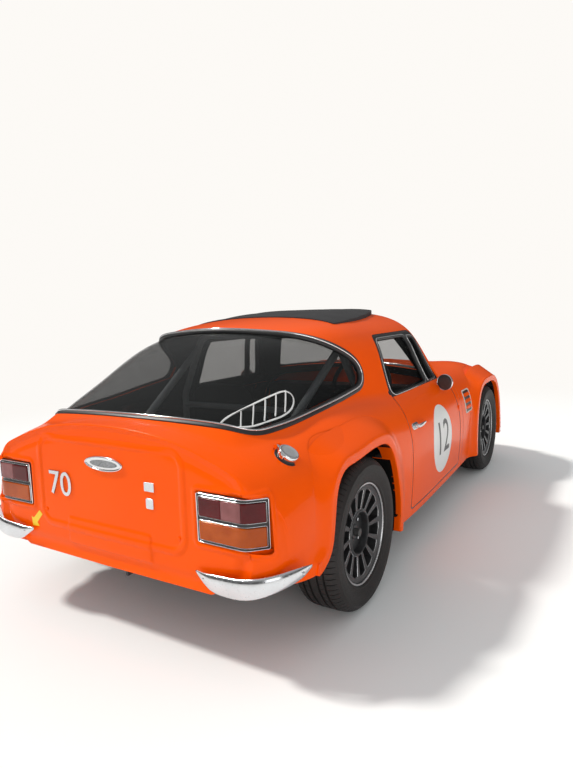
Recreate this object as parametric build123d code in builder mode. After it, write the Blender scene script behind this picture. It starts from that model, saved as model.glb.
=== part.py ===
"""Fastback sports coupe: body, doors, bonnet, chassis, running gear and cabin fittings."""
from build123d import *
import os
from math import cos, radians, sin, sqrt

# Frame: +X forward, +Y to the car's left, +Z up, origin on the ground under mid wheelbase.
# All sizes are millimetres.

# Wheels and track
wheelbase = 2286.0
front_axle_x = wheelbase / 2
rear_axle_x = -wheelbase / 2
tyre_radius = 318.0
tyre_width = 204.0
tyre_side_depth = 24.0
rim_seat_radius = 205.0
rim_wall = 9.0
rim_width = 168.0
wheel_track_half = 695.0
spoke_count = 16
hub_radius = 62.0
hub_z = tyre_radius
spindle_radius = 17.0
running_gap = 0.3
seat_gap = 0.3

# Body envelope
tail_x = -1795.0
nose_x = 1803.0
door_half_width = 782.0
sill_z = 192.0
belt_z = 776.0
roof_z = 1221.0
panel_gap = 6.0

# Walls
side_wall = 46.0
roof_wall = 30.0
clam_wall = 20.0
floor_wall = 30.0
deck_z = 560.0
deck_wall = 28.0
tail_wall = 70.0

# Plan outline of the floor unit inside the outer shell: distance along the car and half width
floor_plan = [(tail_x + tail_wall, 600), (-1500, 660), (-700, 694), (500, 694), (500, 600), (700, 600)]
floor_top_z = 699.0

# Shut lines
bonnet_cut_x = 476.0
door_front_x = 393.0
door_rear_x = -555.0
door_bottom_z = 229.0
door_top_z = 1103.0
door_rear_lean = 0.3
door_hinge_y = 769.0
door_hinge_pins = (488.0, 592.0)
door_hinge_length = 34.0
bonnet_hinge_x = 1660.0
bonnet_hinge_z = 262.0

# Windscreen surface: an arc in plan, raked back
screen_base_x = 470.0
screen_base_z = 848.0
screen_rake = 0.84
screen_radius = 1040.0

# Arches and wells
well_radius = 356.0
well_inner_y = 560.0
flare_out_y = 799.0
flare_root_y = 690.0
flare_band = 42.0
flare_root_band = 118.0
hump_wall = 24.0
ground_reach_z = 60.0

# Arch openings in side view, from the axle: distance along the car and height
rear_arch = [
    (362, 199), (374, 290), (372, 359), (334, 500), (272, 610), (216, 650), (150, 664), (20, 663),
    (-130, 654), (-226, 641), (-268, 604), (-293, 540), (-318, 430), (-337, 384), (-380, 345), (-440, 326),
]
front_arch = [
    (392, 236), (384, 300), (370, 390), (344, 480), (292, 570), (204, 640), (80, 667), (-60, 668),
    (-190, 655), (-266, 610), (-325, 500), (-352, 380), (-358, 290), (-354, 199),
]

# Glass and seals
glass_depth = 9.0
glass_thickness = 5.0

# Windows, doors and roof panel in side or plan view (along the car, height or half width)
main_window = [(-486, 802), (-452, 1074), (78, 1074), (186, 802)]
quarter_window = [(214, 802), (250, 808), (102, 1070), (100, 1074)]
rear_window_edge = [
    (-775, 885), (-1241, 834), (-1578, 812), (-1666, 868), (-1950, 930), (-1500, 1400),
    (-1190, 1228), (-1085, 1172), (-925, 1100), (-772, 1010), (-738, 945),
]
screen_edge = [(322, 838), (150, 1110), (186, 1188), (465, 1188), (465, 868), (445, 868)]
sunroof_edge = [(-700, 440), (128, 300)]
sunroof_stand = 3.0
sunroof_recess = 6.0

# Tail lamps and rear bumpers
lamp_inner_y = 450.0
lamp_outer_y = 708.0
lamp_corner_y = 650.0
lamp_low_z = 476.0
lamp_high_z = 646.0
lamp_stand = 14.0
tail_corner_y = 664.0
tail_corner_run = 326.0
lamp_wrap = 52.0
bumper_stand = 17.0
bumper_depth = 13.0
bumper_pad = 14.0
plate_z = 400.0
plate_half = 226.0
plate_half_height = 54.0
plate_stand = 5.0

# Quarter bumpers on the right: each station's place along the middle line and half height
rear_bumper = [
    (tail_x - 15, -430, 362, 7), (tail_x - 18, -500, 355, 24), (tail_x - 21, -590, 345, 38),
    (tail_x - 12, -670, 340, 44), (tail_x + 28, -735, 345, 40), (tail_x + 92, -776, 356, 26),
    (tail_x + 160, -796, 368, 7),
]
front_bumper = [
    (nose_x + 15, -310, 352, 7), (nose_x + 15, -372, 346, 24), (nose_x - 2, -450, 340, 36),
    (nose_x - 48, -540, 338, 40), (nose_x - 118, -632, 342, 30), (nose_x - 196, -706, 350, 7),
]

# Nose
headlamp_y = 500.0
headlamp_z = 548.0
headlamp_x = nose_x - 208.0
headlamp_radius = 88.0
headlamp_depth = 58.0
bucket_wall = 10.0
bucket_back = 24.0
mouth_half = 300.0
mouth_low_z = 336.0
mouth_high_z = 446.0
grille_bars = 5
grille_bar = 7.0

# Side vents
vent_x = front_axle_x - 500.0
vent_z = 600.0
vent_length = 150.0
vent_height = 150.0

# Fuel filler on the right haunch, square to the haunch's slope
filler_x = -1560.0
filler_y = -665.0
filler_z = 732.0
filler_tilt = 34.0
filler_radius = 34.0
filler_neck_length = 40.0
filler_stand = 9.0
filler_cap_radius = 40.0
filler_cap_height = 20.0
filler_hinge_out = 50.0
filler_hinge_up = 15.0
filler_pin_radius = 4.0
filler_barrel_half = 11.0
filler_ear = 6.0
filler_foot = 2.5

# Tunnel and bulkheads
tunnel_half = 150.0
tunnel_z = 430.0
tunnel_wall = 22.0
bulkhead_x = 446.0
rear_bulkhead_x = -720.0
footwell_x = 610.0
footwell_half = 560.0
footwell_z = 600.0

# Chassis
rail_y = 100.0
rail_low_z = 235.0
rail_high_z = 386.0
rail_radius = 19.0
side_rail_y = 650.0
sill_dip = 0.9
tow_eye_radius = 14.0
tow_eye_reach = 96.0
tow_strut_radius = 12.0
outrigger_radius = 16.0
tower_y = 300.0
tower_half = 90.0
front_tower_z = 590.0
rear_tower_z = 500.0
tower_radius = 15.0

# Suspension and steering
kingpin_y = 640.0
upright_low_z = 206.0
upright_high_z = 430.0
upright_half = 22.0
ball_radius = 17.0
ball_height = 24.0
arm_radius = 12.0
arm_spread = 130.0
coil_radius = 40.0
disc_radius = 122.0
disc_y = 672.0
disc_thickness = 10.0
steer_arm_length = 120.0

# Engine, driveline and cooling
engine_half = 225.0
engine_front_x = 1024.0
engine_rear_x = 640.0
engine_height = 370.0
gearbox_half = 74.0
gearbox_rear_x = -60.0
gearbox_height = 120.0
prop_radius = 30.0
prop_z = 322.0
diff_half_length = 120.0
diff_half_width = 76.0
halfshaft_radius = 15.0
radiator_x = 1470.0
radiator_thickness = 58.0
radiator_half = 235.0
radiator_height = 330.0

# Exhaust
pipe_radius = 24.0
pipe_y = 230.0
silencer_radius = 60.0
silencer_z = 236.0
silencer_front_x = -1340.0
silencer_rear_x = -1580.0
tail_pipe_x = -1652.0

# Cabin fittings
seat_y = 368.0
seat_half = 208.0
column_rake = 18.0
column_radius = 20.0
steering_y = -330.0
steering_x = -140.0
steering_z = 792.0
steering_radius = 178.0
steering_grip = 13.0
dash_rear_x = 285.0
dash_low_z = 590.0
dash_high_z = 725.0
dash_half = 590.0
cage_radius = 19.0
cage_x = -668.0
cage_half = 575.0
cage_top_half = 420.0
cage_top_z = 1122.0
cage_stay_x = -1370.0

# Door fittings
handle_x = -425.0
handle_z = 644.0
mirror_x = 205.0
mirror_z = 768.0

# Each row is one station of the lower body: distance along the car, then the half section's points
# (half width, height) from sill to crest, and the crown height on the centre line.
body_rows = [
    (tail_x, (596, 292), (734, 440), (668, 668), (548, 748), (358, 808), 842),
    (tail_x + 105, (706, 312), (758, 470), (700, 678), (562, 768), (362, 822), 850),
    (rear_axle_x - 307, (744, 292), (776, 530), (726, 692), (612, 774), (384, 834), 860),
    (rear_axle_x, (754, 222), (door_half_width, 565), (742, 726), (640, 808), (404, 850), 872),
    (door_rear_x - 190, (762, sill_z), (door_half_width, 585), (738, 728), (652, 806), (424, 850), 872),
    (door_rear_x, (768, sill_z), (door_half_width, 585), (734, 722), (660, 792), (430, 846), 870),
    (0, (764, sill_z), (779, 565), (730, 708), (656, 782), (430, 840), 868),
    (door_front_x, (756, sill_z), (770, 545), (724, 698), (642, 782), (420, 836), 862),
    (front_axle_x - 343, (746, 200), (768, 530), (728, 690), (626, 786), (400, 826), 846),
    (front_axle_x, (738, 212), (771, 520), (735, 688), (612, 790), (384, 812), 822),
    (front_axle_x + 300, (706, 232), (748, 480), (712, 640), (600, 722), (380, 734), 734),
    (nose_x - 200, (634, 252), (688, 432), (652, 566), (536, 646), (330, 664), 666),
    (nose_x - 78, (506, 272), (592, 406), (552, 502), (434, 572), (266, 598), 602),
    (nose_x, (342, 300), (428, 384), (394, 446), (304, 492), (190, 514), 520),
]

# Stations of the glasshouse, the same way: base buried in the lower body, then side, rail and crown.
cabin_rows = [
    (tail_x + 40, (500, 640), (470, 690), (400, 730), (250, 745), 750),
    (tail_x + 108, (540, 700), (500, 770), (400, 812), (220, 838), 846),
    (-1591, (566, 740), (520, 818), (390, 884), (205, 914), 922),
    (-1442, (588, 740), (556, 848), (430, 946), (235, 1000), 1014),
    (-1241, (606, 740), (575, 880), (452, 1032), (250, 1098), 1116),
    (-1010, (624, 740), (596, 900), (484, 1086), (285, 1158), 1180),
    (-760, (650, 740), (608, 900), (524, 1108), (300, 1192), 1208),
    (-480, (684, 740), (622, 910), (540, 1106), (310, 1204), 1219),
    (-150, (686, 740), (622, 910), (540, 1104), (310, 1206), roof_z),
    (150, (682, 740), (616, 910), (534, 1102), (310, 1200), 1214),
    (520, (676, 740), (604, 910), (520, 1098), (300, 1190), 1204),
]


def mirrored(half, crown):
    """Points of a whole section, right sill over the crown to left sill."""
    right = [(-y, z) for y, z in half]
    left = [(y, z) for y, z in reversed(half)]
    return right + [(0, crown)] + left


def inset(points, wall):
    """Section points moved inward along the local normal by one wall thickness."""
    moved = []
    for i, (y, z) in enumerate(points):
        before = points[max(i - 1, 0)]
        after = points[min(i + 1, len(points) - 1)]
        run, rise = after[0] - before[0], after[1] - before[1]
        length = sqrt(run * run + rise * rise)
        moved.append((y + rise / length * wall, z - run / length * wall))
    return moved


def section_loft(rows, wall, floor_lift=0.0, start=0, stop=None):
    """Solid lofted through the rows' sections, inset by a wall, closed by a flat floor."""
    with BuildPart() as solid:
        for x, *half, crown in rows[start:stop]:
            points = mirrored(half, crown)
            if wall:
                points = inset(points, wall)
            low = points[0][1] + floor_lift
            points[0] = (points[0][0], low)
            points[-1] = (points[-1][0], low)
            with BuildSketch(Plane.YZ.offset(x)):
                with BuildLine():
                    Spline(*points)
                    Line(points[-1], points[0])
                make_face()
        loft()
    return solid.part


def prism_across(points, near, far):
    """Side-view outline extruded across the car between two half widths on the right."""
    with BuildPart() as solid:
        with BuildSketch(Plane.XZ.offset(near)):
            with BuildLine():
                Polyline(*points, close=True)
            make_face()
        extrude(amount=far - near)
    return solid.part


def block(x0, x1, y0, y1, z0, z1):
    """Box between six limits."""
    with BuildPart() as solid:
        with BuildSketch(Plane.XY.offset(z0)):
            with Locations(((x0 + x1) / 2, (y0 + y1) / 2)):
                Rectangle(x1 - x0, y1 - y0)
        extrude(amount=z1 - z0)
    return solid.part


def rod(start, end, radius):
    """Round bar between two points."""
    with BuildPart() as solid:
        with BuildSketch(Plane(origin=start, z_dir=Vector(*end) - Vector(*start))):
            Circle(radius)
        extrude(amount=(Vector(*end) - Vector(*start)).length)
    return solid.part


def bent_tube(points, bend, radius):
    """Round tube along straight runs joined by equal bends."""
    with BuildPart() as solid:
        with BuildLine() as path:
            FilletPolyline(*points, radius=bend)
        with BuildSketch(Plane(origin=path.line @ 0, z_dir=path.line % 0)):
            Circle(radius)
        sweep(path=path.line)
    return solid.part


def joined(pieces):
    """All the solids of a list in one part."""
    with BuildPart() as solid:
        for piece in pieces:
            add(piece)
    return solid.part


def both_sides(piece):
    """A right-hand piece and its mirror image."""
    return joined([piece, piece.mirror(Plane.XZ)])


def cut(piece, *tools):
    """A part with tools taken away."""
    with BuildPart() as solid:
        add(piece)
        for tool in tools:
            add(tool, mode=Mode.SUBTRACT)
    return solid.part


def common(piece, *tools):
    """The part of a piece that lies inside every tool."""
    with BuildPart() as solid:
        add(piece)
        for tool in tools:
            add(tool, mode=Mode.INTERSECT)
    return solid.part


def save(part, name):
    """Label a finished part and write its STEP file."""
    part.label = name
    export_step(part, f"parts/{name}.step")


def glasshouse(wall, screen_shift):
    """Roof and side tunnel inset by a wall, cut in front by the raked screen surface."""
    tunnel = section_loft(cabin_rows, wall)
    low = sill_z
    base = screen_base_x - screen_shift + screen_rake * (screen_base_z - low)
    side = 900.0
    back = side * side / (2 * screen_radius)
    with BuildPart() as ahead:
        with BuildSketch(Plane.XY.offset(low)):
            with BuildLine():
                Spline(
                    (base - back, -side), (base - back / 4, -side / 2), (base, 0),
                    (base - back / 4, side / 2), (base - back, side),
                )
                Polyline((base - back, side), (base + side, side), (base + side, -side), (base - back, -side))
            make_face()
        extrude(amount=1700, dir=(-screen_rake, 0, 1))
    return cut(tunnel, ahead.part)


def door_region(grow):
    """Right door's whole volume: side-view outline whose rear face leans forward as it goes inboard."""
    with BuildPart() as solid:
        for half in (280.0, 900.0):
            rear = door_rear_x + door_rear_lean * (door_half_width - half) - grow
            with BuildSketch(Plane.XZ.offset(half)):
                with BuildLine():
                    Polyline(
                        (door_front_x + grow, door_bottom_z - grow),
                        (door_front_x + grow, belt_z - 36),
                        (268 + 1.3 * grow, belt_z + 20),
                        (98 + 1.3 * grow, door_top_z + grow),
                        (rear, door_top_z + grow),
                        (rear, door_bottom_z - grow),
                        close=True,
                    )
                make_face()
        loft(ruled=True)
    return solid.part


def wheel_well(centre_x, radius, inner_y):
    """Round well about one right wheel, open outward."""
    with BuildPart() as solid:
        with BuildSketch(Plane.XZ.offset(inner_y)):
            with Locations((centre_x, hub_z)):
                Circle(radius)
        extrude(amount=1000 - inner_y)
    return solid.part


def arch_outline(axle_x, arch, grow):
    """Side-view arch opening moved outward by a growth, as (along, height) points front to back."""
    moved = []
    for i, (x, z) in enumerate(arch):
        before = arch[max(i - 1, 0)]
        after = arch[min(i + 1, len(arch) - 1)]
        run, rise = after[0] - before[0], after[1] - before[1]
        length = sqrt(run * run + rise * rise)
        moved.append((axle_x + x + rise / length * grow, z - run / length * grow))
    return moved


def arch_face(axle_x, arch, grow, half):
    """Face of a grown arch opening at one half width on the right, open side carried to the ground."""
    points = arch_outline(axle_x, arch, grow)
    front, rear = points[0], points[-1]
    with BuildSketch(Plane.XZ.offset(half)) as sketch:
        with BuildLine():
            Spline(*points)
            Polyline(rear, (rear[0] - 120, ground_reach_z), (front[0] + 12, ground_reach_z), front)
        make_face()
    return sketch.sketch


def arch_cut(axle_x, arch):
    """Right arch opening carried inboard over the wheel."""
    with BuildPart() as solid:
        add(extrude(arch_face(axle_x, arch, 0, well_inner_y - 1), amount=440))
    return solid.part


def flare(axle_x, arch):
    """Right wheel-arch flare: a band round the opening, proud of the side, its outer face flat."""
    with BuildPart() as band:
        add(arch_face(axle_x, arch, flare_root_band, flare_root_y))
        add(arch_face(axle_x, arch, flare_band, flare_out_y))
        loft(ruled=True)
    rear_end = axle_x + arch[-1][0]
    keep = joined([block(axle_x - 300, axle_x + 600, -1000, 0, sill_z + 6, 900),
                   block(rear_end, axle_x - 299, -1000, 0, max(arch[-1][1], sill_z + 6), 900)])
    return common(band.part, keep)


def tail_corner():
    """Right corner of the tail, outside the chamfer that the lamp wraps round."""
    with BuildPart() as solid:
        with BuildSketch(Plane.XY.offset(200)):
            with BuildLine():
                Polyline((tail_x - 10, -tail_corner_y + 10), (tail_x + tail_corner_run, -1000),
                         (tail_x - 200, -1000), close=True)
            make_face()
        extrude(amount=700)
    return solid.part


def body_parts():
    """Main shell, bonnet, doors and every pane, cut from shared surfaces."""
    lower = section_loft(body_rows, 0)
    flares = both_sides(joined([flare(rear_axle_x, rear_arch), flare(front_axle_x, front_arch)]))
    upper = glasshouse(0, 0)
    outer = joined([cut(lower, both_sides(tail_corner())), flares, upper])

    # Cabin and luggage space
    inner_lower = section_loft(body_rows, side_wall, floor_lift=0)
    inner_upper = glasshouse(roof_wall, roof_wall)
    inner = joined([inner_lower, inner_upper])
    floor_top = sill_z + floor_wall
    cabin_box = block(rear_bulkhead_x, bulkhead_x, -1000, 1000, floor_top, 1400)
    luggage_box = block(tail_x + tail_wall, rear_bulkhead_x + 1, -1000, 1000, deck_z, 1400)
    cabin = common(inner, joined([cabin_box, luggage_box]))
    tunnel = block(rear_bulkhead_x - 50, bulkhead_x + 50, -tunnel_half, tunnel_half, 0, tunnel_z)
    hump = both_sides(wheel_well(rear_axle_x, well_radius + hump_wall, well_inner_y - hump_wall))
    cabin = cut(cabin, tunnel, hump)

    # Spaces under the body
    under = block(
        tail_x + 155, rear_bulkhead_x - 60, -well_inner_y, well_inner_y, 0, deck_z - deck_wall)
    channel_half = tunnel_half - tunnel_wall
    channel = block(rear_bulkhead_x - 200, 900, -channel_half, channel_half, 0, tunnel_z - tunnel_wall)
    well = both_sides(wheel_well(rear_axle_x, well_radius, well_inner_y - 1))
    rear_opening = both_sides(arch_cut(rear_axle_x, rear_arch))
    front_opening = both_sides(arch_cut(front_axle_x, front_arch))

    # Footwells reach forward under the bonnet
    foot = block(bulkhead_x, footwell_x, -footwell_half, footwell_half, sill_z, footwell_z)
    foot_inside = block(
        bulkhead_x - 30, footwell_x - tunnel_wall, -footwell_half + tunnel_wall,
        footwell_half - tunnel_wall, floor_top, footwell_z - tunnel_wall)
    foot_inside = cut(foot_inside, block(300, 1000, -tunnel_half, tunnel_half, 0, tunnel_z))

    rear_half = block(-3000, bonnet_cut_x - panel_gap, -1000, 1000, 0, 2000)
    tub = joined([common(outer, rear_half), foot])
    region = door_region(panel_gap)
    tub = cut(tub, cabin, foot_inside, under, channel, well, rear_opening, both_sides(region))
    lamp_cut = both_sides(lamp_block(0.3))
    roof_plan = sunroof_plan(0.3)
    roof_recess = cut(roof_plan, glasshouse(sunroof_recess, 0))
    screen_cut = prism_across(screen_edge, -700, 700)
    rear_cut = prism_across(rear_window_edge, -700, 700)
    shell = cut(tub, floor_core(0))
    shell = cut(shell, lamp_cut, roof_recess, screen_cut, rear_cut)
    pad = block(tail_x - plate_stand, tail_x + 1, -plate_half, plate_half, plate_z - plate_half_height,
                plate_z + plate_half_height)
    shell = joined([shell, pad, filler_neck()])
    save(shell, "body_shell")
    print("body_shell", len(shell.solids()), shell.is_valid)
    floor = Part() + common(tub, floor_core(seat_gap)).solids().sort_by(SortBy.VOLUME)[-1]
    save(floor, "floor_tub")
    print("floor_tub", len(floor.solids()), floor.is_valid)

    # Doors
    skin = cut(outer, inner)
    windows = joined([prism_across(main_window, 300, 1000), prism_across(quarter_window, 300, 1000)])
    door = joined([cut(common(skin, door_region(0)), windows), door_hinges()])
    save(door, "door_right_shell")
    save(door.mirror(Plane.XZ), "door_left_shell")
    print("door", len(door.solids()), door.is_valid, door.bounding_box())

    # Glass slab
    pane = cut(glasshouse(glass_depth, glass_depth), glasshouse(glass_depth + glass_thickness,
                                                                 glass_depth + glass_thickness))
    fit = -seat_gap
    door_glass = common(pane, joined([pane_prism(main_window, fit, 300, 1000),
                                      pane_prism(quarter_window, fit, 300, 1000)]))
    save(door_glass, "door_right_glass")
    save(door_glass.mirror(Plane.XZ), "door_left_glass")
    save(common(pane, pane_prism(screen_edge, fit, -700, 700)), "windscreen")
    save(common(pane, pane_prism(rear_window_edge, fit, -700, 700)), "rear_window")
    panel = common(cut(glasshouse(-sunroof_stand, -sunroof_stand), glasshouse(sunroof_recess - 0.3, 0)),
                   sunroof_plan(0))
    save(panel, "sunroof_panel")
    print("glass done")

    # Bonnet
    clam_inner = common(section_loft(body_rows, clam_wall, floor_lift=-150),
                        block(0, nose_x - clam_wall, -1000, 1000, 0, 1400))
    front_half = block(bonnet_cut_x, 3000, -1000, 1000, 0, 2000)
    clam = cut(common(outer, front_half), clam_inner, front_opening)
    buckets = both_sides(common(headlamp_tube(headlamp_radius + bucket_wall, -bucket_back), lower))
    clam = joined([clam, buckets, both_sides(hinge_lug())])
    mouth = block(nose_x - 60, nose_x + 60, -mouth_half, mouth_half, mouth_low_z, mouth_high_z)
    clam = cut(clam, both_sides(headlamp_tube(headlamp_radius + seat_gap, 0)), mouth,
               both_sides(vent_block(seat_gap)), hinge_bore())
    save(clam, "bonnet_shell")
    print("bonnet", len(clam.solids()), clam.is_valid)
    return outer


def floor_core(fit):
    """Space of the floor unit: the plan outline, drawn in by a small fit, up to the hump tops."""
    outline = floor_plan + [(x, -half) for x, half in reversed(floor_plan)]
    with BuildPart() as solid:
        with BuildSketch():
            with BuildLine():
                Polyline(*outline, close=True)
            make_face()
            if fit:
                offset(amount=-fit, kind=Kind.INTERSECTION)
        extrude(amount=floor_top_z - fit)
    return solid.part


def pane_prism(points, grow, near, far):
    """Side-view outline grown by a small fit and extruded across the car."""
    with BuildPart() as solid:
        with BuildSketch(Plane.XZ.offset(near)):
            with BuildLine():
                Polyline(*points, close=True)
            make_face()
            offset(amount=grow, kind=Kind.INTERSECTION)
        extrude(amount=far - near)
    return solid.part


def sunroof_plan(grow):
    """Plan outline of the fabric roof panel, as a tall prism over the roof."""
    (rear, rear_half), (front, front_half) = sunroof_edge
    with BuildPart() as solid:
        with BuildSketch(Plane.XY.offset(door_top_z)):
            with BuildLine():
                Polyline(
                    (rear - grow, -rear_half - grow), (front + grow, -front_half - grow),
                    (front + grow, front_half + grow), (rear - grow, rear_half + grow), close=True)
            make_face()
        extrude(amount=400)
    return solid.part


def lamp_block(grow):
    """Right tail lamp: plan outline that wraps the corner, extruded upward."""
    face = tail_x - lamp_stand
    with BuildPart() as solid:
        with BuildSketch(Plane.XY.offset(lamp_low_z - grow)):
            with BuildLine():
                Polyline(
                    (face, -lamp_inner_y), (face, -lamp_corner_y),
                    (tail_x + lamp_wrap, -lamp_outer_y - 40), (tail_x + lamp_wrap, -lamp_corner_y),
                    (tail_x + 18, -lamp_inner_y), close=True)
            make_face()
            if grow:
                offset(amount=grow, kind=Kind.INTERSECTION)
        extrude(amount=lamp_high_z - lamp_low_z + 2 * grow)
    return solid.part


def headlamp_tube(radius, start):
    """Cylinder on the right headlamp's axis, from its back face forward."""
    with BuildPart() as solid:
        with BuildSketch(Plane.YZ.offset(headlamp_x + start)):
            with Locations((-headlamp_y, headlamp_z)):
                Circle(radius)
        extrude(amount=400)
    return solid.part


def hinge_lug():
    """Right bonnet hinge lug, from the nose panel back to the hinge line."""
    with BuildPart() as solid:
        with BuildSketch(Plane.XZ.offset(180)):
            with BuildLine():
                Polyline(
                    (bonnet_hinge_x - 22, bonnet_hinge_z - 20), (bonnet_hinge_x + 40, bonnet_hinge_z - 20),
                    (nose_x - clam_wall + 4, 316), (nose_x - clam_wall + 4, 372),
                    (bonnet_hinge_x - 22, bonnet_hinge_z + 30), close=True)
            make_face()
        extrude(amount=12)
    return solid.part


def hinge_bore():
    """Bore through both hinge lugs."""
    return rod((bonnet_hinge_x, -220, bonnet_hinge_z), (bonnet_hinge_x, 220, bonnet_hinge_z), 9 + running_gap)


def vent_block(grow):
    """Right side vent behind the front arch."""
    return block(vent_x - vent_length / 2 - grow, vent_x + vent_length / 2 + grow, -900, -690,
                 vent_z - vent_height / 2 - grow, vent_z + vent_height / 2 + grow)


def chassis_parts():
    """Tubular backbone with outriggers, suspension towers and hinge pin."""
    outrigger_z = sill_z - sill_dip - outrigger_radius
    front_x = bonnet_hinge_x - 20
    rear_x = tail_x + 215
    bars = []
    for side in (-1, 1):
        y = side * rail_y
        bars.append(rod((rear_x, y, rail_low_z), (front_x, y, rail_low_z), rail_radius))
        bars.append(rod((rear_x, y, rail_high_z), (footwell_x - 60, y, rail_high_z), rail_radius))
        bars.append(rod((footwell_x - 60, y, rail_high_z), (footwell_x + 8, y, rail_low_z), tower_radius))
        bars.append(rod((rear_bulkhead_x + 80, side * side_rail_y, outrigger_z),
                        (bulkhead_x - 40, side * side_rail_y, outrigger_z), outrigger_radius))
        for x in (rear_x + 30, rear_bulkhead_x + 120, bulkhead_x - 80):
            bars.append(rod((x, y, outrigger_z), (x, y, rail_high_z), outrigger_radius))
        for x in (front_axle_x - tower_half, front_axle_x + tower_half):
            bars.append(rod((x, y, rail_low_z), (x, side * tower_y, front_tower_z), tower_radius))
        bars.append(rod((front_axle_x - tower_half - 10, side * tower_y, front_tower_z),
                        (front_axle_x + tower_half + 10, side * tower_y, front_tower_z), tower_radius))
        for x in (rear_axle_x - tower_half, rear_axle_x + tower_half):
            bars.append(rod((x, y, rail_low_z), (x, side * tower_y, rear_tower_z), tower_radius))
        bars.append(rod((rear_axle_x - tower_half - 10, side * tower_y, rear_tower_z),
                        (rear_axle_x + tower_half + 10, side * tower_y, rear_tower_z), tower_radius))
        bars.append(rod((radiator_x, side * (radiator_half - 30), rail_low_z),
                        (radiator_x, side * (radiator_half - 30), rail_low_z + 40), tower_radius))
        bars.append(rod((front_x, y, rail_low_z), (bonnet_hinge_x, y, bonnet_hinge_z), tower_radius))
    for x in (rear_bulkhead_x + 120, bulkhead_x - 80):
        bars.append(rod((x, -side_rail_y, outrigger_z), (x, side_rail_y, outrigger_z), outrigger_radius))
    bars.append(rod((front_axle_x + tower_half, -tower_y, front_tower_z - 30),
                    (front_axle_x + tower_half, tower_y, front_tower_z - 30), tower_radius))
    bars.append(rod((radiator_x, -radiator_half, rail_low_z), (radiator_x, radiator_half, rail_low_z),
                    tower_radius))
    bars.append(rod((bonnet_hinge_x, -215, bonnet_hinge_z), (bonnet_hinge_x, 215, bonnet_hinge_z), 9))
    bars.append(rod((rear_x + 8, -rail_y, rail_low_z), (rear_x + 8, rail_y, rail_low_z), tower_radius))
    bars.append(rod((rear_x + 8, 0, rail_low_z), (rear_x + 8 - tow_eye_reach, 0, rail_low_z), tow_strut_radius))
    save(joined(bars), "chassis_frame")
    save(tow_eye(rear_x + 8 - tow_eye_reach), "tow_eye")


def tow_eye(x):
    """Plate with a shackle bore, on the end of the rear strut."""
    back = x - seat_gap - 2.6 * tow_eye_radius
    plate = block(back - 1.8 * tow_eye_radius, x - seat_gap, -6, 6, rail_low_z - 18, rail_low_z + 30)
    eye = rod((back, -8, rail_low_z + 6), (back, 8, rail_low_z + 6), tow_eye_radius)
    return cut(plate, eye)


def door_hinges():
    """Right door's hinge knuckles: each fills the shut gap on the hinge line with a running gap."""
    line_x = door_front_x + panel_gap / 2
    knuckles = []
    for z in door_hinge_pins:
        knuckles.append(rod((line_x, -door_hinge_y, z - door_hinge_length / 2),
                            (line_x, -door_hinge_y, z + door_hinge_length / 2),
                            panel_gap / 2 - running_gap))
        knuckles.append(block(door_front_x - 6, line_x, -door_hinge_y, -door_hinge_y + 16,
                              z - door_hinge_length / 2, z + door_hinge_length / 2))
    return joined(knuckles)


def corner_arms(axle_x, tower_z):
    """Right wishbone pair and coil-over of one axle, with the ball joint bosses on the kingpin line."""
    low = upright_low_z - seat_gap
    high = upright_high_z + seat_gap
    inner_y = -(rail_y + rail_radius + 17.5)
    upper_z = high + 12
    leg_share = (upper_z - rail_low_z) / (tower_z - rail_low_z)
    upper_y = -(rail_y + leg_share * (tower_y - rail_y)) - tower_radius - 10
    pieces = [
        rod((axle_x, -kingpin_y, low - ball_height), (axle_x, -kingpin_y, low), ball_radius),
        rod((axle_x, -kingpin_y, high), (axle_x, -kingpin_y, high + ball_height), ball_radius),
    ]
    for side in (-1, 1):
        pieces.append(rod((axle_x, -kingpin_y, low - ball_height + 8),
                          (axle_x + side * arm_spread, inner_y, rail_low_z), arm_radius))
        pieces.append(rod((axle_x, -kingpin_y, high + ball_height - 9),
                          (axle_x + side * (tower_half - 22), upper_y, upper_z), arm_radius))
    pieces.append(rod((axle_x - arm_spread - 12, inner_y, rail_low_z),
                      (axle_x + arm_spread + 12, inner_y, rail_low_z), 10))
    pieces.append(rod((axle_x - tower_half + tower_radius + 0.3, upper_y + 12, upper_z),
                      (axle_x + tower_half - tower_radius - 0.3, upper_y + 12, upper_z), 9))
    top = (axle_x, -tower_y, tower_z - tower_radius - 14.3)
    pieces.append(rod((axle_x, -505, 205), top, 12))
    pieces.append(rod((axle_x - 24, -tower_y, tower_z - tower_radius - 12.3),
                      (axle_x + 24, -tower_y, tower_z - tower_radius - 12.3), 12))
    coil_low = (axle_x, -475, 262)
    coil_high = (axle_x, -tower_y - 34, tower_z - 84)
    pieces.append(rod(coil_low, coil_high, coil_radius))
    return joined(pieces)


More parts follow.
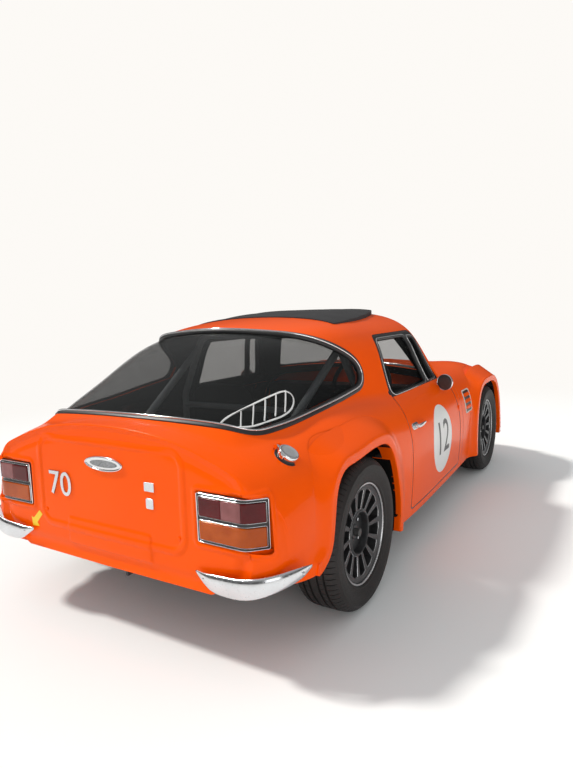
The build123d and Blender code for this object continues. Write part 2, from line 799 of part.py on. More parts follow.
def suspension_parts():
    """Front and rear arms, the rear hub carriers with their drive, and the steered knuckles."""
    save(both_sides(corner_arms(front_axle_x, front_tower_z)), "front_suspension")
    carrier = joined([
        block(rear_axle_x - upright_half, rear_axle_x + upright_half, -kingpin_y - 18, -kingpin_y + 14,
              upright_low_z - 30, upright_high_z + 30),
        rod((rear_axle_x, -kingpin_y, hub_z), (rear_axle_x, -spindle_end(), hub_z), spindle_radius),
        rod((rear_axle_x, -kingpin_y, hub_z), (rear_axle_x, -diff_half_width + 10, hub_z), halfshaft_radius),
    ])
    diff = block(rear_axle_x - diff_half_length, rear_axle_x + diff_half_length, -diff_half_width,
                 diff_half_width, rail_low_z - 40, rail_high_z - 8)
    prop = rod((rear_axle_x + 60, 0, prop_z), (gearbox_rear_x - seat_gap, 0, prop_z), prop_radius)
    rear = joined([both_sides(joined([corner_arms(rear_axle_x, rear_tower_z), carrier])), diff, prop])
    save(rear, "rear_suspension")
    upright = joined([
        block(front_axle_x - upright_half, front_axle_x + upright_half, -kingpin_y - 18, -kingpin_y + 14,
              upright_low_z, upright_high_z),
        rod((front_axle_x, -kingpin_y, hub_z), (front_axle_x, -spindle_end(), hub_z), spindle_radius),
        block(front_axle_x - steer_arm_length, front_axle_x, -kingpin_y, -kingpin_y + 12,
              upright_low_z + 30, upright_low_z + 56),
    ])
    save(upright, "knuckle_right")
    save(upright.mirror(Plane.XZ), "knuckle_left")


def spindle_end():
    """Half width reached by the spindle's tip, inside the wheel hub."""
    return wheel_track_half + 62


def wheel_parts():
    """Four alloy rims and four tyres."""
    corners = {
        "front_right": (front_axle_x, -1), "front_left": (front_axle_x, 1),
        "rear_right": (rear_axle_x, -1), "rear_left": (rear_axle_x, 1),
    }
    rim = rim_solid()
    tyre = tyre_solid()
    for place, (x, side) in corners.items():
        for solid, name in ((rim, "rim"), (tyre, "tyre")):
            moved = solid if side < 0 else solid.mirror(Plane.XZ)
            save(Pos(x, side * wheel_track_half, hub_z) * moved, f"{name}_{place}")


def tyre_solid():
    """Tyre of a right wheel about its own centre: outer face towards -Y."""
    half = tyre_width / 2
    bead = rim_width / 2 - rim_wall - 1
    seat = rim_seat_radius + 0.3
    with BuildPart() as solid:
        with BuildSketch(Plane.XY):
            with BuildLine():
                Polyline(
                    (seat, -bead), (seat + 12, -bead), (seat + 32, -half + 8), (seat + 66, -half),
                    (tyre_radius - 22, -half + 5),
                    (tyre_radius - 6, -half + 22), (tyre_radius, -half + 44), (tyre_radius, half - 44),
                    (tyre_radius - 6, half - 22), (tyre_radius - 22, half - 5), (seat + 66, half),
                    (seat + 32, half - 8), (seat + 12, bead), (seat, bead), close=True)
            make_face()
        revolve(axis=Axis.Y)
    return solid.part


def rim_solid():
    """Alloy rim of a right wheel about its own centre, with vanes, hub and brake disc."""
    half = rim_width / 2
    inner = rim_seat_radius - rim_wall
    lip = rim_seat_radius + 9
    vane_face = -half + 16
    disc = wheel_track_half - disc_y
    with BuildPart() as solid:
        with BuildSketch(Plane.XY):
            with BuildLine():
                Polyline(
                    (inner, -half), (lip, -half), (lip, -half + rim_wall), (rim_seat_radius, -half + rim_wall),
                    (rim_seat_radius, half - rim_wall), (lip, half - rim_wall), (lip, half), (inner, half),
                    close=True)
            make_face()
            with BuildLine():
                Polyline(
                    (0, vane_face - 14), (hub_radius, vane_face - 6),
                    (hub_radius, vane_face + 40), (40, vane_face + 52), (40, disc - disc_thickness),
                    (disc_radius, disc - disc_thickness), (disc_radius, disc),
                    (spindle_radius + running_gap, disc), (spindle_radius + running_gap, vane_face + 4),
                    (0, vane_face + 4), close=True)
            make_face()
        revolve(axis=Axis.Y)
        with BuildSketch(Plane.XZ.offset(-vane_face - 30)):
            with PolarLocations((hub_radius + inner) / 2, spoke_count):
                Rectangle(inner - hub_radius + 12, 15)
        extrude(amount=26)
    return solid.part


def power_parts():
    """Engine and gearbox as one block, radiator and exhaust."""
    sump_z = rail_low_z + rail_radius + seat_gap
    engine = block(engine_rear_x, engine_front_x, -engine_half, engine_half, sump_z, sump_z + engine_height)
    box = block(gearbox_rear_x, engine_rear_x + 5, -gearbox_half, gearbox_half, sump_z,
                sump_z + gearbox_height)
    save(joined([engine, box]), "engine_block")
    low = rail_low_z + tower_radius + seat_gap + 25
    core = block(radiator_x - radiator_thickness / 2, radiator_x + radiator_thickness / 2, -radiator_half,
                 radiator_half, low, low + radiator_height)
    save(core, "radiator")
    outrigger_low = sill_z - sill_dip - 2 * outrigger_radius
    pipe_z = outrigger_low - seat_gap - pipe_radius
    pipe = bent_tube([(engine_rear_x - 20, pipe_y, pipe_z), (rear_axle_x - 110, pipe_y, pipe_z),
                      (silencer_front_x - 10, pipe_y, silencer_z)], 50, pipe_radius)
    silencer = rod((silencer_rear_x, pipe_y, silencer_z), (silencer_front_x, pipe_y, silencer_z),
                   silencer_radius)
    tail_pipe = rod((silencer_rear_x + 5, pipe_y, silencer_z - 14), (tail_pipe_x, pipe_y, silencer_z - 14),
                    pipe_radius - 2)
    save(joined([pipe, silencer, tail_pipe]), "exhaust")


def seat(side):
    """One plain bucket seat: cushion and reclined back."""
    floor_top = sill_z + floor_wall + seat_gap
    with BuildPart() as solid:
        with BuildSketch(Plane.XZ.offset(-side * seat_y - seat_half)):
            with BuildLine():
                Polyline(
                    (-60, floor_top), (-40, floor_top + 150), (-90, floor_top + 178), (-430, floor_top + 140),
                    (-560, floor_top + 640), (-600, floor_top + 660), (-640, floor_top + 620),
                    (-560, floor_top + 120), (-530, floor_top), close=True)
            make_face()
        extrude(amount=2 * seat_half)
    return solid.part


def cabin_parts():
    """Seats, dash, steering gear and roll cage."""
    save(seat(-1), "seat_right")
    save(seat(1), "seat_left")
    rake = radians(column_rake)
    axis = (cos(rake), 0, -sin(rake))
    reach = (bulkhead_x - seat_gap - steering_x) / axis[0]
    start = (steering_x + 45 * axis[0], steering_y, steering_z + 45 * axis[2])
    stop_reach = reach - 12
    stop = (steering_x + stop_reach * axis[0], steering_y, steering_z + stop_reach * axis[2])
    column = rod(start, stop, column_radius)
    save(column, "steering_column")
    tube = rod(start, (steering_x + reach * 1.2 * axis[0], steering_y, steering_z + reach * 1.2 * axis[2]),
               column_radius + seat_gap)
    dash = block(dash_rear_x, bulkhead_x - seat_gap, -dash_half, dash_half, dash_low_z, dash_high_z)
    save(cut(dash, tube), "dashboard")
    wheel_plane = Plane(origin=(steering_x, steering_y, steering_z), x_dir=(0, 1, 0), z_dir=axis)
    with BuildPart() as wheel:
        with BuildSketch(Plane(origin=wheel_plane.origin, x_dir=wheel_plane.x_dir,
                               z_dir=wheel_plane.y_dir)):
            with Locations((steering_radius, 0)):
                Circle(steering_grip)
        revolve(axis=Axis(wheel_plane.origin, axis))
        with BuildSketch(wheel_plane.offset(-4)):
            Circle(40)
            with PolarLocations(steering_radius / 2, 3, start_angle=-90):
                Rectangle(steering_radius, 26)
        extrude(amount=8)
        with BuildSketch(wheel_plane):
            Circle(30)
        extrude(amount=45 - seat_gap)
    save(wheel.part, "steering_wheel")
    cage_parts()


def cage_parts():
    """Rear hoop with two stays to the luggage deck and a cross bar."""
    floor_top = sill_z + floor_wall + seat_gap
    hoop = bent_tube([
        (cage_x, -cage_half, floor_top), (cage_x, -cage_half, belt_z), (cage_x, -cage_top_half, cage_top_z),
        (cage_x, cage_top_half, cage_top_z), (cage_x, cage_half, belt_z), (cage_x, cage_half, floor_top),
    ], 90, cage_radius)
    bars = [hoop, rod((cage_x, -cage_half, belt_z - 60), (cage_x, cage_half, belt_z - 60), cage_radius - 2)]
    for side in (-1, 1):
        bars.append(rod((cage_x, side * (cage_top_half + 30), cage_top_z - 70),
                        (cage_stay_x, side * (cage_top_half - 10), deck_z + cage_radius + 2), cage_radius))
        bars.append(rod((cage_stay_x, side * (cage_top_half - 10), deck_z + seat_gap),
                        (cage_stay_x, side * (cage_top_half - 10), deck_z + 10), 46))
    save(joined(bars), "roll_cage")


def filler_point(out, up, along=0):
    """Point by the filler: out towards the car's middle, up its axis, along the car."""
    lean = radians(filler_tilt)
    return (filler_x + along, filler_y + out * cos(lean) - up * sin(lean),
            filler_z + out * sin(lean) + up * cos(lean))


def filler_neck():
    """Neck through the haunch, with the two hinge ears on its inboard side."""
    solids = [rod(filler_point(0, filler_stand - filler_neck_length), filler_point(0, filler_stand), filler_radius)]
    for start in (-filler_barrel_half - seat_gap - filler_ear, filler_barrel_half + seat_gap):
        solids.append(rod(filler_point(filler_hinge_out, filler_hinge_up, start),
                          filler_point(filler_hinge_out, filler_hinge_up, start + filler_ear),
                          filler_pin_radius + filler_ear / 2))
        middle = start + filler_ear / 2
        solids.append(rod(filler_point(filler_hinge_out, -filler_stand, middle),
                          filler_point(filler_hinge_out, filler_hinge_up, middle), filler_foot))
    return joined(solids)


def filler_cap():
    """Flip cap with its hinge barrel and the arm that joins them."""
    base = filler_stand + seat_gap
    cap = rod(filler_point(0, base), filler_point(0, base + filler_cap_height), filler_cap_radius)
    barrel = rod(filler_point(filler_hinge_out, filler_hinge_up, -filler_barrel_half),
                 filler_point(filler_hinge_out, filler_hinge_up, filler_barrel_half), filler_pin_radius)
    arm = rod(filler_point(filler_cap_radius - 6, filler_hinge_up), filler_point(filler_hinge_out, filler_hinge_up),
              filler_pin_radius - 0.5)
    return joined([cap, barrel, arm])


def trim_parts(outer):
    """Lamps, bumpers, grille, vents, filler and badge plinth."""
    lamp = cut(lamp_block(0), block(tail_x - 1000, tail_x + 1000, -2000, -760, 0, 2000))
    lamp = common(lamp, joined([block(tail_x - 40, tail_x + 6, -1000, 0, 0, 2000),
                                section_loft(body_rows, -lamp_stand / 2)]))
    save(both_sides(lamp), "tail_lamps")

    # Rear quarter bumpers, each with two mounting pads
    rear = quarter_bumper(rear_bumper)
    pads = joined([rod((tail_x - bumper_stand, -y, rear_bumper[2][2]), (tail_x - seat_gap, -y, rear_bumper[2][2]),
                       bumper_pad) for y in (520, 590)])
    save(both_sides(cut(joined([rear, pads]), outer)), "rear_bumpers")

    # Bonnet trim: lamps, grille, vents and front quarter bumpers
    lamps = common(headlamp_tube(headlamp_radius, seat_gap),
                   block(0, headlamp_x + headlamp_depth, -1000, 0, 0, 1000))
    save(both_sides(lamps), "headlamps")
    save(grille(), "front_grille")
    vent = common(vent_block(0), section_loft(body_rows, -4), block(0, 2000, -1000, -720, 0, 1000))
    save(both_sides(vent), "side_vents")
    front = quarter_bumper(front_bumper)
    front_pads = joined([rod((nose_x + bumper_stand, -y, front_bumper[1][2]),
                             (nose_x + seat_gap, -y, front_bumper[1][2]), bumper_pad) for y in (345, 395)])
    save(both_sides(cut(joined([front, front_pads]), outer)), "front_bumpers")

    save(filler_cap(), "filler_cap")
    with BuildPart() as plinth:
        with BuildSketch(Plane.YZ.offset(tail_x - 10)):
            with Locations((0, 697)):
                Ellipse(103, 30)
        extrude(amount=10 - seat_gap)
    save(plinth.part, "tail_plinth")
    door_trim()


def quarter_bumper(stations):
    """Right quarter bumper: upright ellipses carried round the corner, narrow at both ends."""
    path = Spline(*[(x, y, z) for x, y, z, _ in stations])
    with BuildPart() as solid:
        for x, y, z, half in stations:
            along = path % path.param_at_point((x, y, z))
            with BuildSketch(Plane(origin=(x, y, z), x_dir=Vector(along.Y, -along.X, 0), z_dir=along)):
                Ellipse(min(bumper_depth, half), half)
        loft()
    return solid.part


def grille():
    """Front grille: frame and bars filling the nose opening."""
    fit = mouth_half - seat_gap
    low, high = mouth_low_z + seat_gap, mouth_high_z - seat_gap
    with BuildPart() as solid:
        with BuildSketch(Plane.YZ.offset(nose_x - clam_wall)):
            with Locations((0, (low + high) / 2)):
                Rectangle(2 * fit, high - low)
                Rectangle(2 * fit - 2 * grille_bar, high - low - 2 * grille_bar, mode=Mode.SUBTRACT)
                with GridLocations(0, (high - low - grille_bar) / (grille_bars + 1), 1, grille_bars):
                    Rectangle(2 * fit - grille_bar, grille_bar * 0.6)
                Rectangle(grille_bar, high - low - grille_bar)
        extrude(amount=clam_wall - 4)
    return solid.part


def door_trim():
    """Right door handle and mirror, and their mirror images on the left."""
    handle = cut(joined([
        block(handle_x - 92, handle_x + 92, -812, -800, handle_z - 9, handle_z + 9),
        block(handle_x - 92, handle_x - 66, -806, -740, handle_z - 12, handle_z + 12),
        block(handle_x + 66, handle_x + 92, -806, -740, handle_z - 12, handle_z + 12),
    ]), section_loft(body_rows, -seat_gap))
    stem = rod((mirror_x, -664, 700), (mirror_x, -722, mirror_z), 9)
    head = rod((mirror_x - 14, -735, mirror_z + 12), (mirror_x + 26, -735, mirror_z + 12), 50)
    mirror_piece = cut(joined([stem, head]), section_loft(body_rows, -seat_gap),
                       glasshouse(-seat_gap, -seat_gap))
    for piece, name in ((handle, "handle"), (mirror_piece, "mirror")):
        save(piece, f"{name}_right")
        save(piece.mirror(Plane.XZ), f"{name}_left")


if __name__ == "__main__":
    os.makedirs("parts", exist_ok=True)
    chassis_parts()
    suspension_parts()
    wheel_parts()
    power_parts()
    cabin_parts()
    whole_body = body_parts()
    trim_parts(whole_body)
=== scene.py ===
import math

import bmesh
import bpy
import numpy as np
from mathutils import Matrix, Vector


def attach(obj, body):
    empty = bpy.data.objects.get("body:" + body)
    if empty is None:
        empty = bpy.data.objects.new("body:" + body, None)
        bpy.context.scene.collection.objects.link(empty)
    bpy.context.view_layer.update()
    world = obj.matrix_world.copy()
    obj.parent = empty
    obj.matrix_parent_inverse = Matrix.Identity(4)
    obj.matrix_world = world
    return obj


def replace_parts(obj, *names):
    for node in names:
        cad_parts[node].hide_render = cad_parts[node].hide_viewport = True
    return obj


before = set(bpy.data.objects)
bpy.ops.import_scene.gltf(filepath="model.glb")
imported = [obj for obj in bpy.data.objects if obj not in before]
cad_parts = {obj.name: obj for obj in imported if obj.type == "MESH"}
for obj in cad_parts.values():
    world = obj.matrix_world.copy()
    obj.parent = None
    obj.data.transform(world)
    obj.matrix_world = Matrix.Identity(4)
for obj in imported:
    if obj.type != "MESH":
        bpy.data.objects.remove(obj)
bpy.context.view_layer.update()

mm = 0.001


def addNode(nodes, kind, inputs=(), **settings):
    # shader node of a kind, with its own settings and pairs of a socket and its plain value
    node = nodes.new("ShaderNode" + kind)
    for key, value in settings.items():
        setattr(node, key, value)
    for socket, value in inputs:
        node.inputs[socket].default_value = value
    return node


def wire(links, *pairs):
    for source, sink in pairs:
        links.new(source, sink)


def addObject(name, data):
    obj = bpy.data.objects.new(name, data)
    bpy.context.scene.collection.objects.link(obj)
    return obj


# camera, light and floor

viewUser = {
    "place": (-3.2455, -1.7063, 1.2504),
    "azimuth": 31.366,
    "down": 7.356,
    "roll": -2.124,
    "lens": 26.81,
    "worldLight": 0.58,
    "worldColour": (0.97, 0.985, 1.0),
    "mirrorLight": (0.05, 0.55),
    "paper": (0.98, 0.955, 0.92),
    "floor": (0.92, 0.937, 0.93),
    "keyPower": 2.4,
    "keySoft": 6,
    "keyColour": (1.0, 0.965, 0.92),
    "keyWay": (0.3, -0.82, -1),
    "fillPower": 65,
    "fillPlace": (-5.5, -4.5, 1.9), "fillAim": (-0.3, 0, 0.55), "fillSize": (4.5, 2.6),
    "floorSize": 60, "floorFade": (2.6, 6.0),
}


def placeCamera(user):
    # forward from azimuth and dip, right is forward x up, then the pair is rolled
    az, el, roll = (math.radians(user[k]) for k in ("azimuth", "down", "roll"))
    f = Vector((math.cos(az) * math.cos(el), math.sin(az) * math.cos(el), -math.sin(el)))
    r = f.cross(Vector((0, 0, 1))).normalized()
    u = r.cross(f)
    right = r * math.cos(roll) + u * math.sin(roll)
    up = u * math.cos(roll) - r * math.sin(roll)
    camData = bpy.data.cameras.new("camera")
    camData.lens = user["lens"]
    camData.clip_end = 60
    cam = addObject("camera", camData)
    cam.matrix_world = Matrix((
        (right.x, up.x, -f.x, user["place"][0]),
        (right.y, up.y, -f.y, user["place"][1]),
        (right.z, up.z, -f.z, user["place"][2]),
        (0, 0, 0, 1)))
    bpy.context.scene.camera = cam
    bpy.context.scene.view_settings.view_transform = "Standard"


def addLamp(name, kind, place, way, **settings):
    data = bpy.data.lights.new(name, kind)
    for key, value in settings.items():
        setattr(data, key, value)
    lamp = addObject(name, data)
    lamp.location = place
    lamp.rotation_mode = "QUATERNION"
    lamp.rotation_quaternion = Vector(way).to_track_quat("-Z", "Y")


def skyBlend(nodes, links, low, high):
    # surround for reflections: dim at the horizon, bright overhead
    where, parts = addNode(nodes, "TexCoord"), addNode(nodes, "SeparateXYZ")
    ramp = addNode(nodes, "MapRange", (("From Min", 0.05), ("From Max", 0.75), ("To Min", low),
                                       ("To Max", high)),
                   interpolation_type="SMOOTHSTEP")
    wire(links, (where.outputs["Generated"], parts.inputs[0]), (parts.outputs["Z"], ramp.inputs["Value"]))
    return ramp.outputs["Result"]


def surround(user):
    # white where it is seen, a soft even light on the car, a blend from dark to bright in reflections
    world = bpy.data.worlds.new("studio")
    bpy.context.scene.world = world
    world.use_nodes = True
    nodes, links = world.node_tree.nodes, world.node_tree.links
    nodes.clear()
    paths, seen = addNode(nodes, "LightPath"), addNode(nodes, "Math", operation="MAXIMUM")
    plain = addNode(nodes, "Background", (("Color", (*user["worldColour"], 1)),
                                          ("Strength", user["worldLight"])))
    mirrored = addNode(nodes, "Background")
    white = addNode(nodes, "Background", [("Color", (*user["paper"], 1))])
    first, second, out = (addNode(nodes, kind) for kind in ("MixShader", "MixShader", "OutputWorld"))
    wire(links,
         (paths.outputs["Is Camera Ray"], seen.inputs[0]),
         (paths.outputs["Is Transmission Ray"], seen.inputs[1]),
         (skyBlend(nodes, links, *user["mirrorLight"]), mirrored.inputs["Strength"]),
         (paths.outputs["Is Glossy Ray"], first.inputs[0]), (plain.outputs[0], first.inputs[1]),
         (mirrored.outputs[0], first.inputs[2]), (seen.outputs[0], second.inputs[0]),
         (first.outputs[0], second.inputs[1]), (white.outputs[0], second.inputs[2]),
         (second.outputs[0], out.inputs[0]))


def layFloor(user):
    # pale floor that fades into the white surround away from the car
    bpy.ops.mesh.primitive_plane_add(size=user["floorSize"], location=(0, 0, 0))
    floor = bpy.context.object
    floor.name = "floor"
    mat = bpy.data.materials.new("floorPaper")
    mat.use_nodes = True
    nodes, links = mat.node_tree.nodes, mat.node_tree.links
    bsdf = nodes["Principled BSDF"]
    for socket, value in (("Base Color", (*user["floor"], 1)), ("Roughness", 0.9),
                          ("Specular IOR Level", 0.1)):
        bsdf.inputs[socket].default_value = value
    where, length = addNode(nodes, "TexCoord"), addNode(nodes, "VectorMath", operation="LENGTH")
    low, high = user["floorFade"]
    fade = addNode(nodes, "MapRange", (("From Min", low), ("From Max", high)), interpolation_type="SMOOTHSTEP")
    paper = addNode(nodes, "Emission", [("Color", (*user["paper"], 1))])
    mix = addNode(nodes, "MixShader")
    wire(links, (where.outputs["Object"], length.inputs[0]), (length.outputs["Value"], fade.inputs["Value"]),
         (fade.outputs["Result"], mix.inputs[0]), (bsdf.outputs[0], mix.inputs[1]),
         (paper.outputs[0], mix.inputs[2]), (mix.outputs[0], nodes["Material Output"].inputs[0]))
    floor.data.materials.append(mat)


def studio(user):
    # a sun from behind on the left, a wide fill from behind on the right
    addLamp("key", "SUN", (0, 0, 0), user["keyWay"], energy=user["keyPower"],
            angle=math.radians(user["keySoft"]),
            color=user["keyColour"])
    wide, tall = user["fillSize"]
    addLamp("fillLamp", "AREA", user["fillPlace"], Vector(user["fillAim"]) - Vector(user["fillPlace"]),
            shape="RECTANGLE", size=wide, size_y=tall, energy=user["fillPower"])
    surround(user)
    layFloor(user)


placeCamera(viewUser)
studio(viewUser)
print("camera and studio placed")

# the body's surface

bodyUser = {
    "proud": 4.0,          # paint skin outside the structural shell, mm
    "tailX": -1795, "noseX": 1803,
    "stepAlong": 9.0,
    "stepsRound": 470,
    "middleZ": 500, "sillShare": 0.9999,
    "deckFillet": 34, "screenFillet": 16,
    "screenX": 470, "screenZ": 848, "screenRake": 0.84, "screenRadius": 1040,
    # stations: place along the car, half section points (half width, height) sill to crest, crown
    "lower": [
        (-1795, (596, 292), (734, 440), (668, 668), (548, 748), (358, 808), 842),
        (-1690, (706, 312), (758, 470), (700, 678), (562, 768), (362, 822), 850),
        (-1450, (744, 292), (776, 530), (726, 692), (612, 774), (384, 834), 860),
        (-1143, (754, 222), (782, 565), (742, 726), (640, 808), (404, 850), 872),
        (-745, (762, 192), (782, 585), (738, 728), (652, 806), (424, 850), 872),
        (-555, (768, 192), (782, 585), (734, 722), (660, 792), (430, 846), 870),
        (0, (764, 192), (779, 565), (730, 708), (656, 782), (430, 840), 868),
        (393, (756, 192), (770, 545), (724, 698), (642, 782), (420, 836), 862),
        (800, (746, 200), (768, 530), (728, 690), (626, 786), (400, 826), 846),
        (1143, (738, 212), (771, 520), (735, 688), (612, 790), (384, 812), 822),
        (1443, (706, 232), (748, 480), (712, 640), (600, 722), (380, 734), 734),
        (1603, (634, 252), (688, 432), (652, 566), (536, 646), (330, 664), 666),
        (1725, (506, 272), (592, 406), (552, 502), (434, 572), (266, 598), 602),
        (1803, (342, 300), (428, 384), (394, 446), (304, 492), (190, 514), 520),
    ],
    "cabin": [
        (-1755, (500, 640), (470, 690), (400, 730), (250, 745), 750),
        (-1687, (540, 700), (500, 770), (400, 812), (220, 838), 846),
        (-1591, (566, 740), (520, 818), (390, 884), (205, 914), 922),
        (-1442, (588, 740), (556, 848), (430, 946), (235, 1000), 1014),
        (-1241, (606, 740), (575, 880), (452, 1032), (250, 1098), 1116),
        (-1010, (624, 740), (596, 900), (484, 1086), (285, 1158), 1180),
        (-760, (650, 740), (608, 900), (524, 1108), (300, 1192), 1208),
        (-480, (684, 740), (622, 910), (540, 1106), (310, 1204), 1219),
        (-150, (686, 740), (622, 910), (540, 1104), (310, 1206), 1221),
        (150, (682, 740), (616, 910), (534, 1102), (310, 1200), 1214),
        (520, (676, 740), (604, 910), (520, 1098), (300, 1190), 1204),
    ],
}


def unit(v):
    # rows of length 1
    return v / np.maximum(np.linalg.norm(v, axis=-1, keepdims=True), 1e-9)


def runOf(points):
    # distance along a path to each of its points
    return np.r_[0, np.cumsum(np.linalg.norm(np.diff(points, axis=0), axis=1))]


def turnStops(count):
    return np.linspace(0, 2 * math.pi, count, endpoint=False)


def ease(t):
    # 0 to 1 with level ends: 3t^2 - 2t^3
    return t ** 2 * (3 - 2 * t)


def cubic(xs, ys, x):
    # natural cubic spline: second derivatives solve a three-band system, each span is the usual cubic
    xs, ys, x = np.asarray(xs, float), np.asarray(ys, float), np.asarray(x, float)
    h = np.diff(xs)
    band = np.diag(np.r_[1, 2 * (h[:-1] + h[1:]), 1])
    band += np.diag(np.r_[0, h[1:]], 1) + np.diag(np.r_[h[:-1], 0], -1)
    flat = ys.reshape(len(xs), -1)
    slope = np.diff(flat, axis=0) / h[:, None]
    bend = np.linalg.solve(band, np.vstack([flat[:1] * 0, 6 * np.diff(slope, axis=0), flat[:1] * 0]))
    i = np.clip(np.searchsorted(xs, x.ravel(), side="right") - 1, 0, len(h) - 1)
    a, b, w = (xs[i + 1] - x.ravel())[:, None], (x.ravel() - xs[i])[:, None], h[i][:, None]
    out = (bend[i] * a ** 3 + bend[i + 1] * b ** 3) / (6 * w)
    out += (flat[i] / w - bend[i] * w / 6) * a + (flat[i + 1] / w - bend[i + 1] * w / 6) * b
    return out.reshape(x.shape + ys.shape[1:])


def wholeRows(rows):
    # stations, their whole outlines mirrored from the right half, and the mean run along an outline
    places = np.array([r[0] for r in rows], float)
    halves = np.array([[*r[1:-1], (0, r[-1])] for r in rows], float)
    whole = np.concatenate([halves * (-1, 1), halves[:, -2::-1]], axis=1)
    return places, whole, np.r_[0, np.cumsum(np.linalg.norm(np.diff(whole, axis=1), axis=2).mean(axis=0))]


def sections(rows, xs, count=240):
    # whole sections at any station: stations blend along the car, then each section is one spline
    places, whole, knots = wholeRows(rows)
    at = cubic(places, whole, np.clip(xs, places[0], places[-1]))
    return cubic(knots, at.transpose(1, 0, 2), np.linspace(0, knots[-1], count)).transpose(1, 0, 2)


def reach(rows, xs, phi, middle):
    # distance from the section's middle to its outline in each direction phi, 0 outside its ends
    curves = sections(rows, xs)
    angle = np.arctan2(curves[..., 0], curves[..., 1] - middle)
    length = np.hypot(curves[..., 0], curves[..., 1] - middle)
    return np.array([np.interp(p, a, r, left=0, right=0) for p, a, r in zip(phi, angle, length)]), angle


def softMax(a, b, k):
    # the larger of two, rounded where they cross: plus k/4 (1 - |a-b|/k)^2
    return np.maximum(a, b) + k / 4 * np.clip(1 - np.abs(a - b) / k, 0, 1) ** 2


def softMin(a, b, k):
    return -softMax(-a, -b, k)


def outerSkin(user, xs, half):
    # body section in polar form about its middle: lower body, the glasshouse on it, the raked screen
    # cutting the glasshouse; half is -1..1 from right sill over the roof to left sill, held just short
    # of the sills, past which the section has no outline
    middle = user["middleZ"]
    _, angle = reach(user["lower"], xs, np.zeros((len(xs), 1)), middle)
    phi = half[None] * angle[:, -1:] * user["sillShare"]
    low, _ = reach(user["lower"], xs, phi, middle)
    high, _ = reach(user["cabin"], xs, phi, middle)
    s, c = np.sin(phi), np.cos(phi)
    a = s ** 2 / (2 * user["screenRadius"] * user["screenRake"])
    b = (user["screenZ"] - middle + (user["screenX"] - xs) / user["screenRake"])[:, None] + 0 * phi
    root = c + np.sqrt(np.maximum(c ** 2 + 4 * a * b, 1e-9))
    screen = np.where((b > 0) & (root > 1e-3), 2 * b / np.maximum(root, 1e-3), np.where(b > 0, 5000, 0))
    inside = (xs > user["cabin"][0][0]) & (xs < user["cabin"][-1][0])
    high = np.where(inside[:, None], softMin(high, screen, user["screenFillet"]), 0)
    r = softMax(low, high, user["deckFillet"]) + user["proud"]
    return np.stack([np.broadcast_to(xs[:, None], r.shape), r * s, middle + r * c], axis=-1)


def gridFaces(rows, cols, closed=False):
    # quads of a grid of rows and columns, joined round when closed
    i, j = np.meshgrid(np.arange(rows - 1), np.arange(cols if closed else cols - 1), indexing="ij")
    k = (j + 1) % cols
    return np.stack([i * cols + j, (i + 1) * cols + j, (i + 1) * cols + k, i * cols + k],
                    axis=-1).reshape(-1, 4)


def clipMesh(verts, tris, field):
    # keeps what has field > 0; a cut edge gets its new point where the field is zero along it
    keep = field > 0
    count = keep[tris].sum(axis=1)
    whole = tris[count == 3]
    faces, edges = [whole], []
    for n in (1, 2):
        part = tris[count == n]
        if not len(part):
            continue
        odd = (keep[part] if n == 1 else ~keep[part]).argmax(axis=1)
        rolled = part[np.arange(len(part))[:, None], (odd[:, None] + np.arange(3)) % 3]
        edges.append((n, rolled))
    if not edges:
        return compact(verts, whole)
    pairs = np.concatenate([r[:, ends] for _, r in edges for ends in ([0, 1], [0, 2])])
    pairs.sort(axis=1)
    unique, back = np.unique(pairs, axis=0, return_inverse=True)
    back = back.ravel()
    fa, fb = field[unique[:, 0]], field[unique[:, 1]]
    t = (fa / (fa - fb))[:, None]
    cut = verts[unique[:, 0]] * (1 - t) + verts[unique[:, 1]] * t
    base, start = len(verts), 0
    for n, r in edges:
        ab = base + back[start:start + len(r)]
        ac = base + back[start + len(r):start + 2 * len(r)]
        start += 2 * len(r)
        if n == 1:
            faces.append(np.stack([r[:, 0], ab, ac], axis=1))
        else:
            faces.append(np.stack([ab, r[:, 1], r[:, 2]], axis=1))
            faces.append(np.stack([ab, r[:, 2], ac], axis=1))
    return compact(np.vstack([verts, cut]), np.concatenate(faces))


def compact(verts, tris):
    # drops unused points and faces with no area
    a, b, c = (verts[tris[:, k]] for k in range(3))
    tris = tris[np.linalg.norm(np.cross(b - a, c - a), axis=1) > 1e-6]
    used, back = np.unique(tris, return_inverse=True)
    return verts[used], back.reshape(-1, 3)


def pointNormals(verts, tris):
    a, b, c = (verts[tris[:, k]] for k in range(3))
    n = np.cross(b - a, c - a)
    out = np.zeros_like(verts)
    for k in range(3):
        np.add.at(out, tris[:, k], n)
    return unit(out)


def rimEdges(tris):
    # directed edges that belong to one face only
    e = np.concatenate([tris[:, [0, 1]], tris[:, [1, 2]], tris[:, [2, 0]]])
    key = np.sort(e, axis=1)
    _, first, times = np.unique(key, axis=0, return_index=True, return_counts=True)
    return e[first[times == 1]]


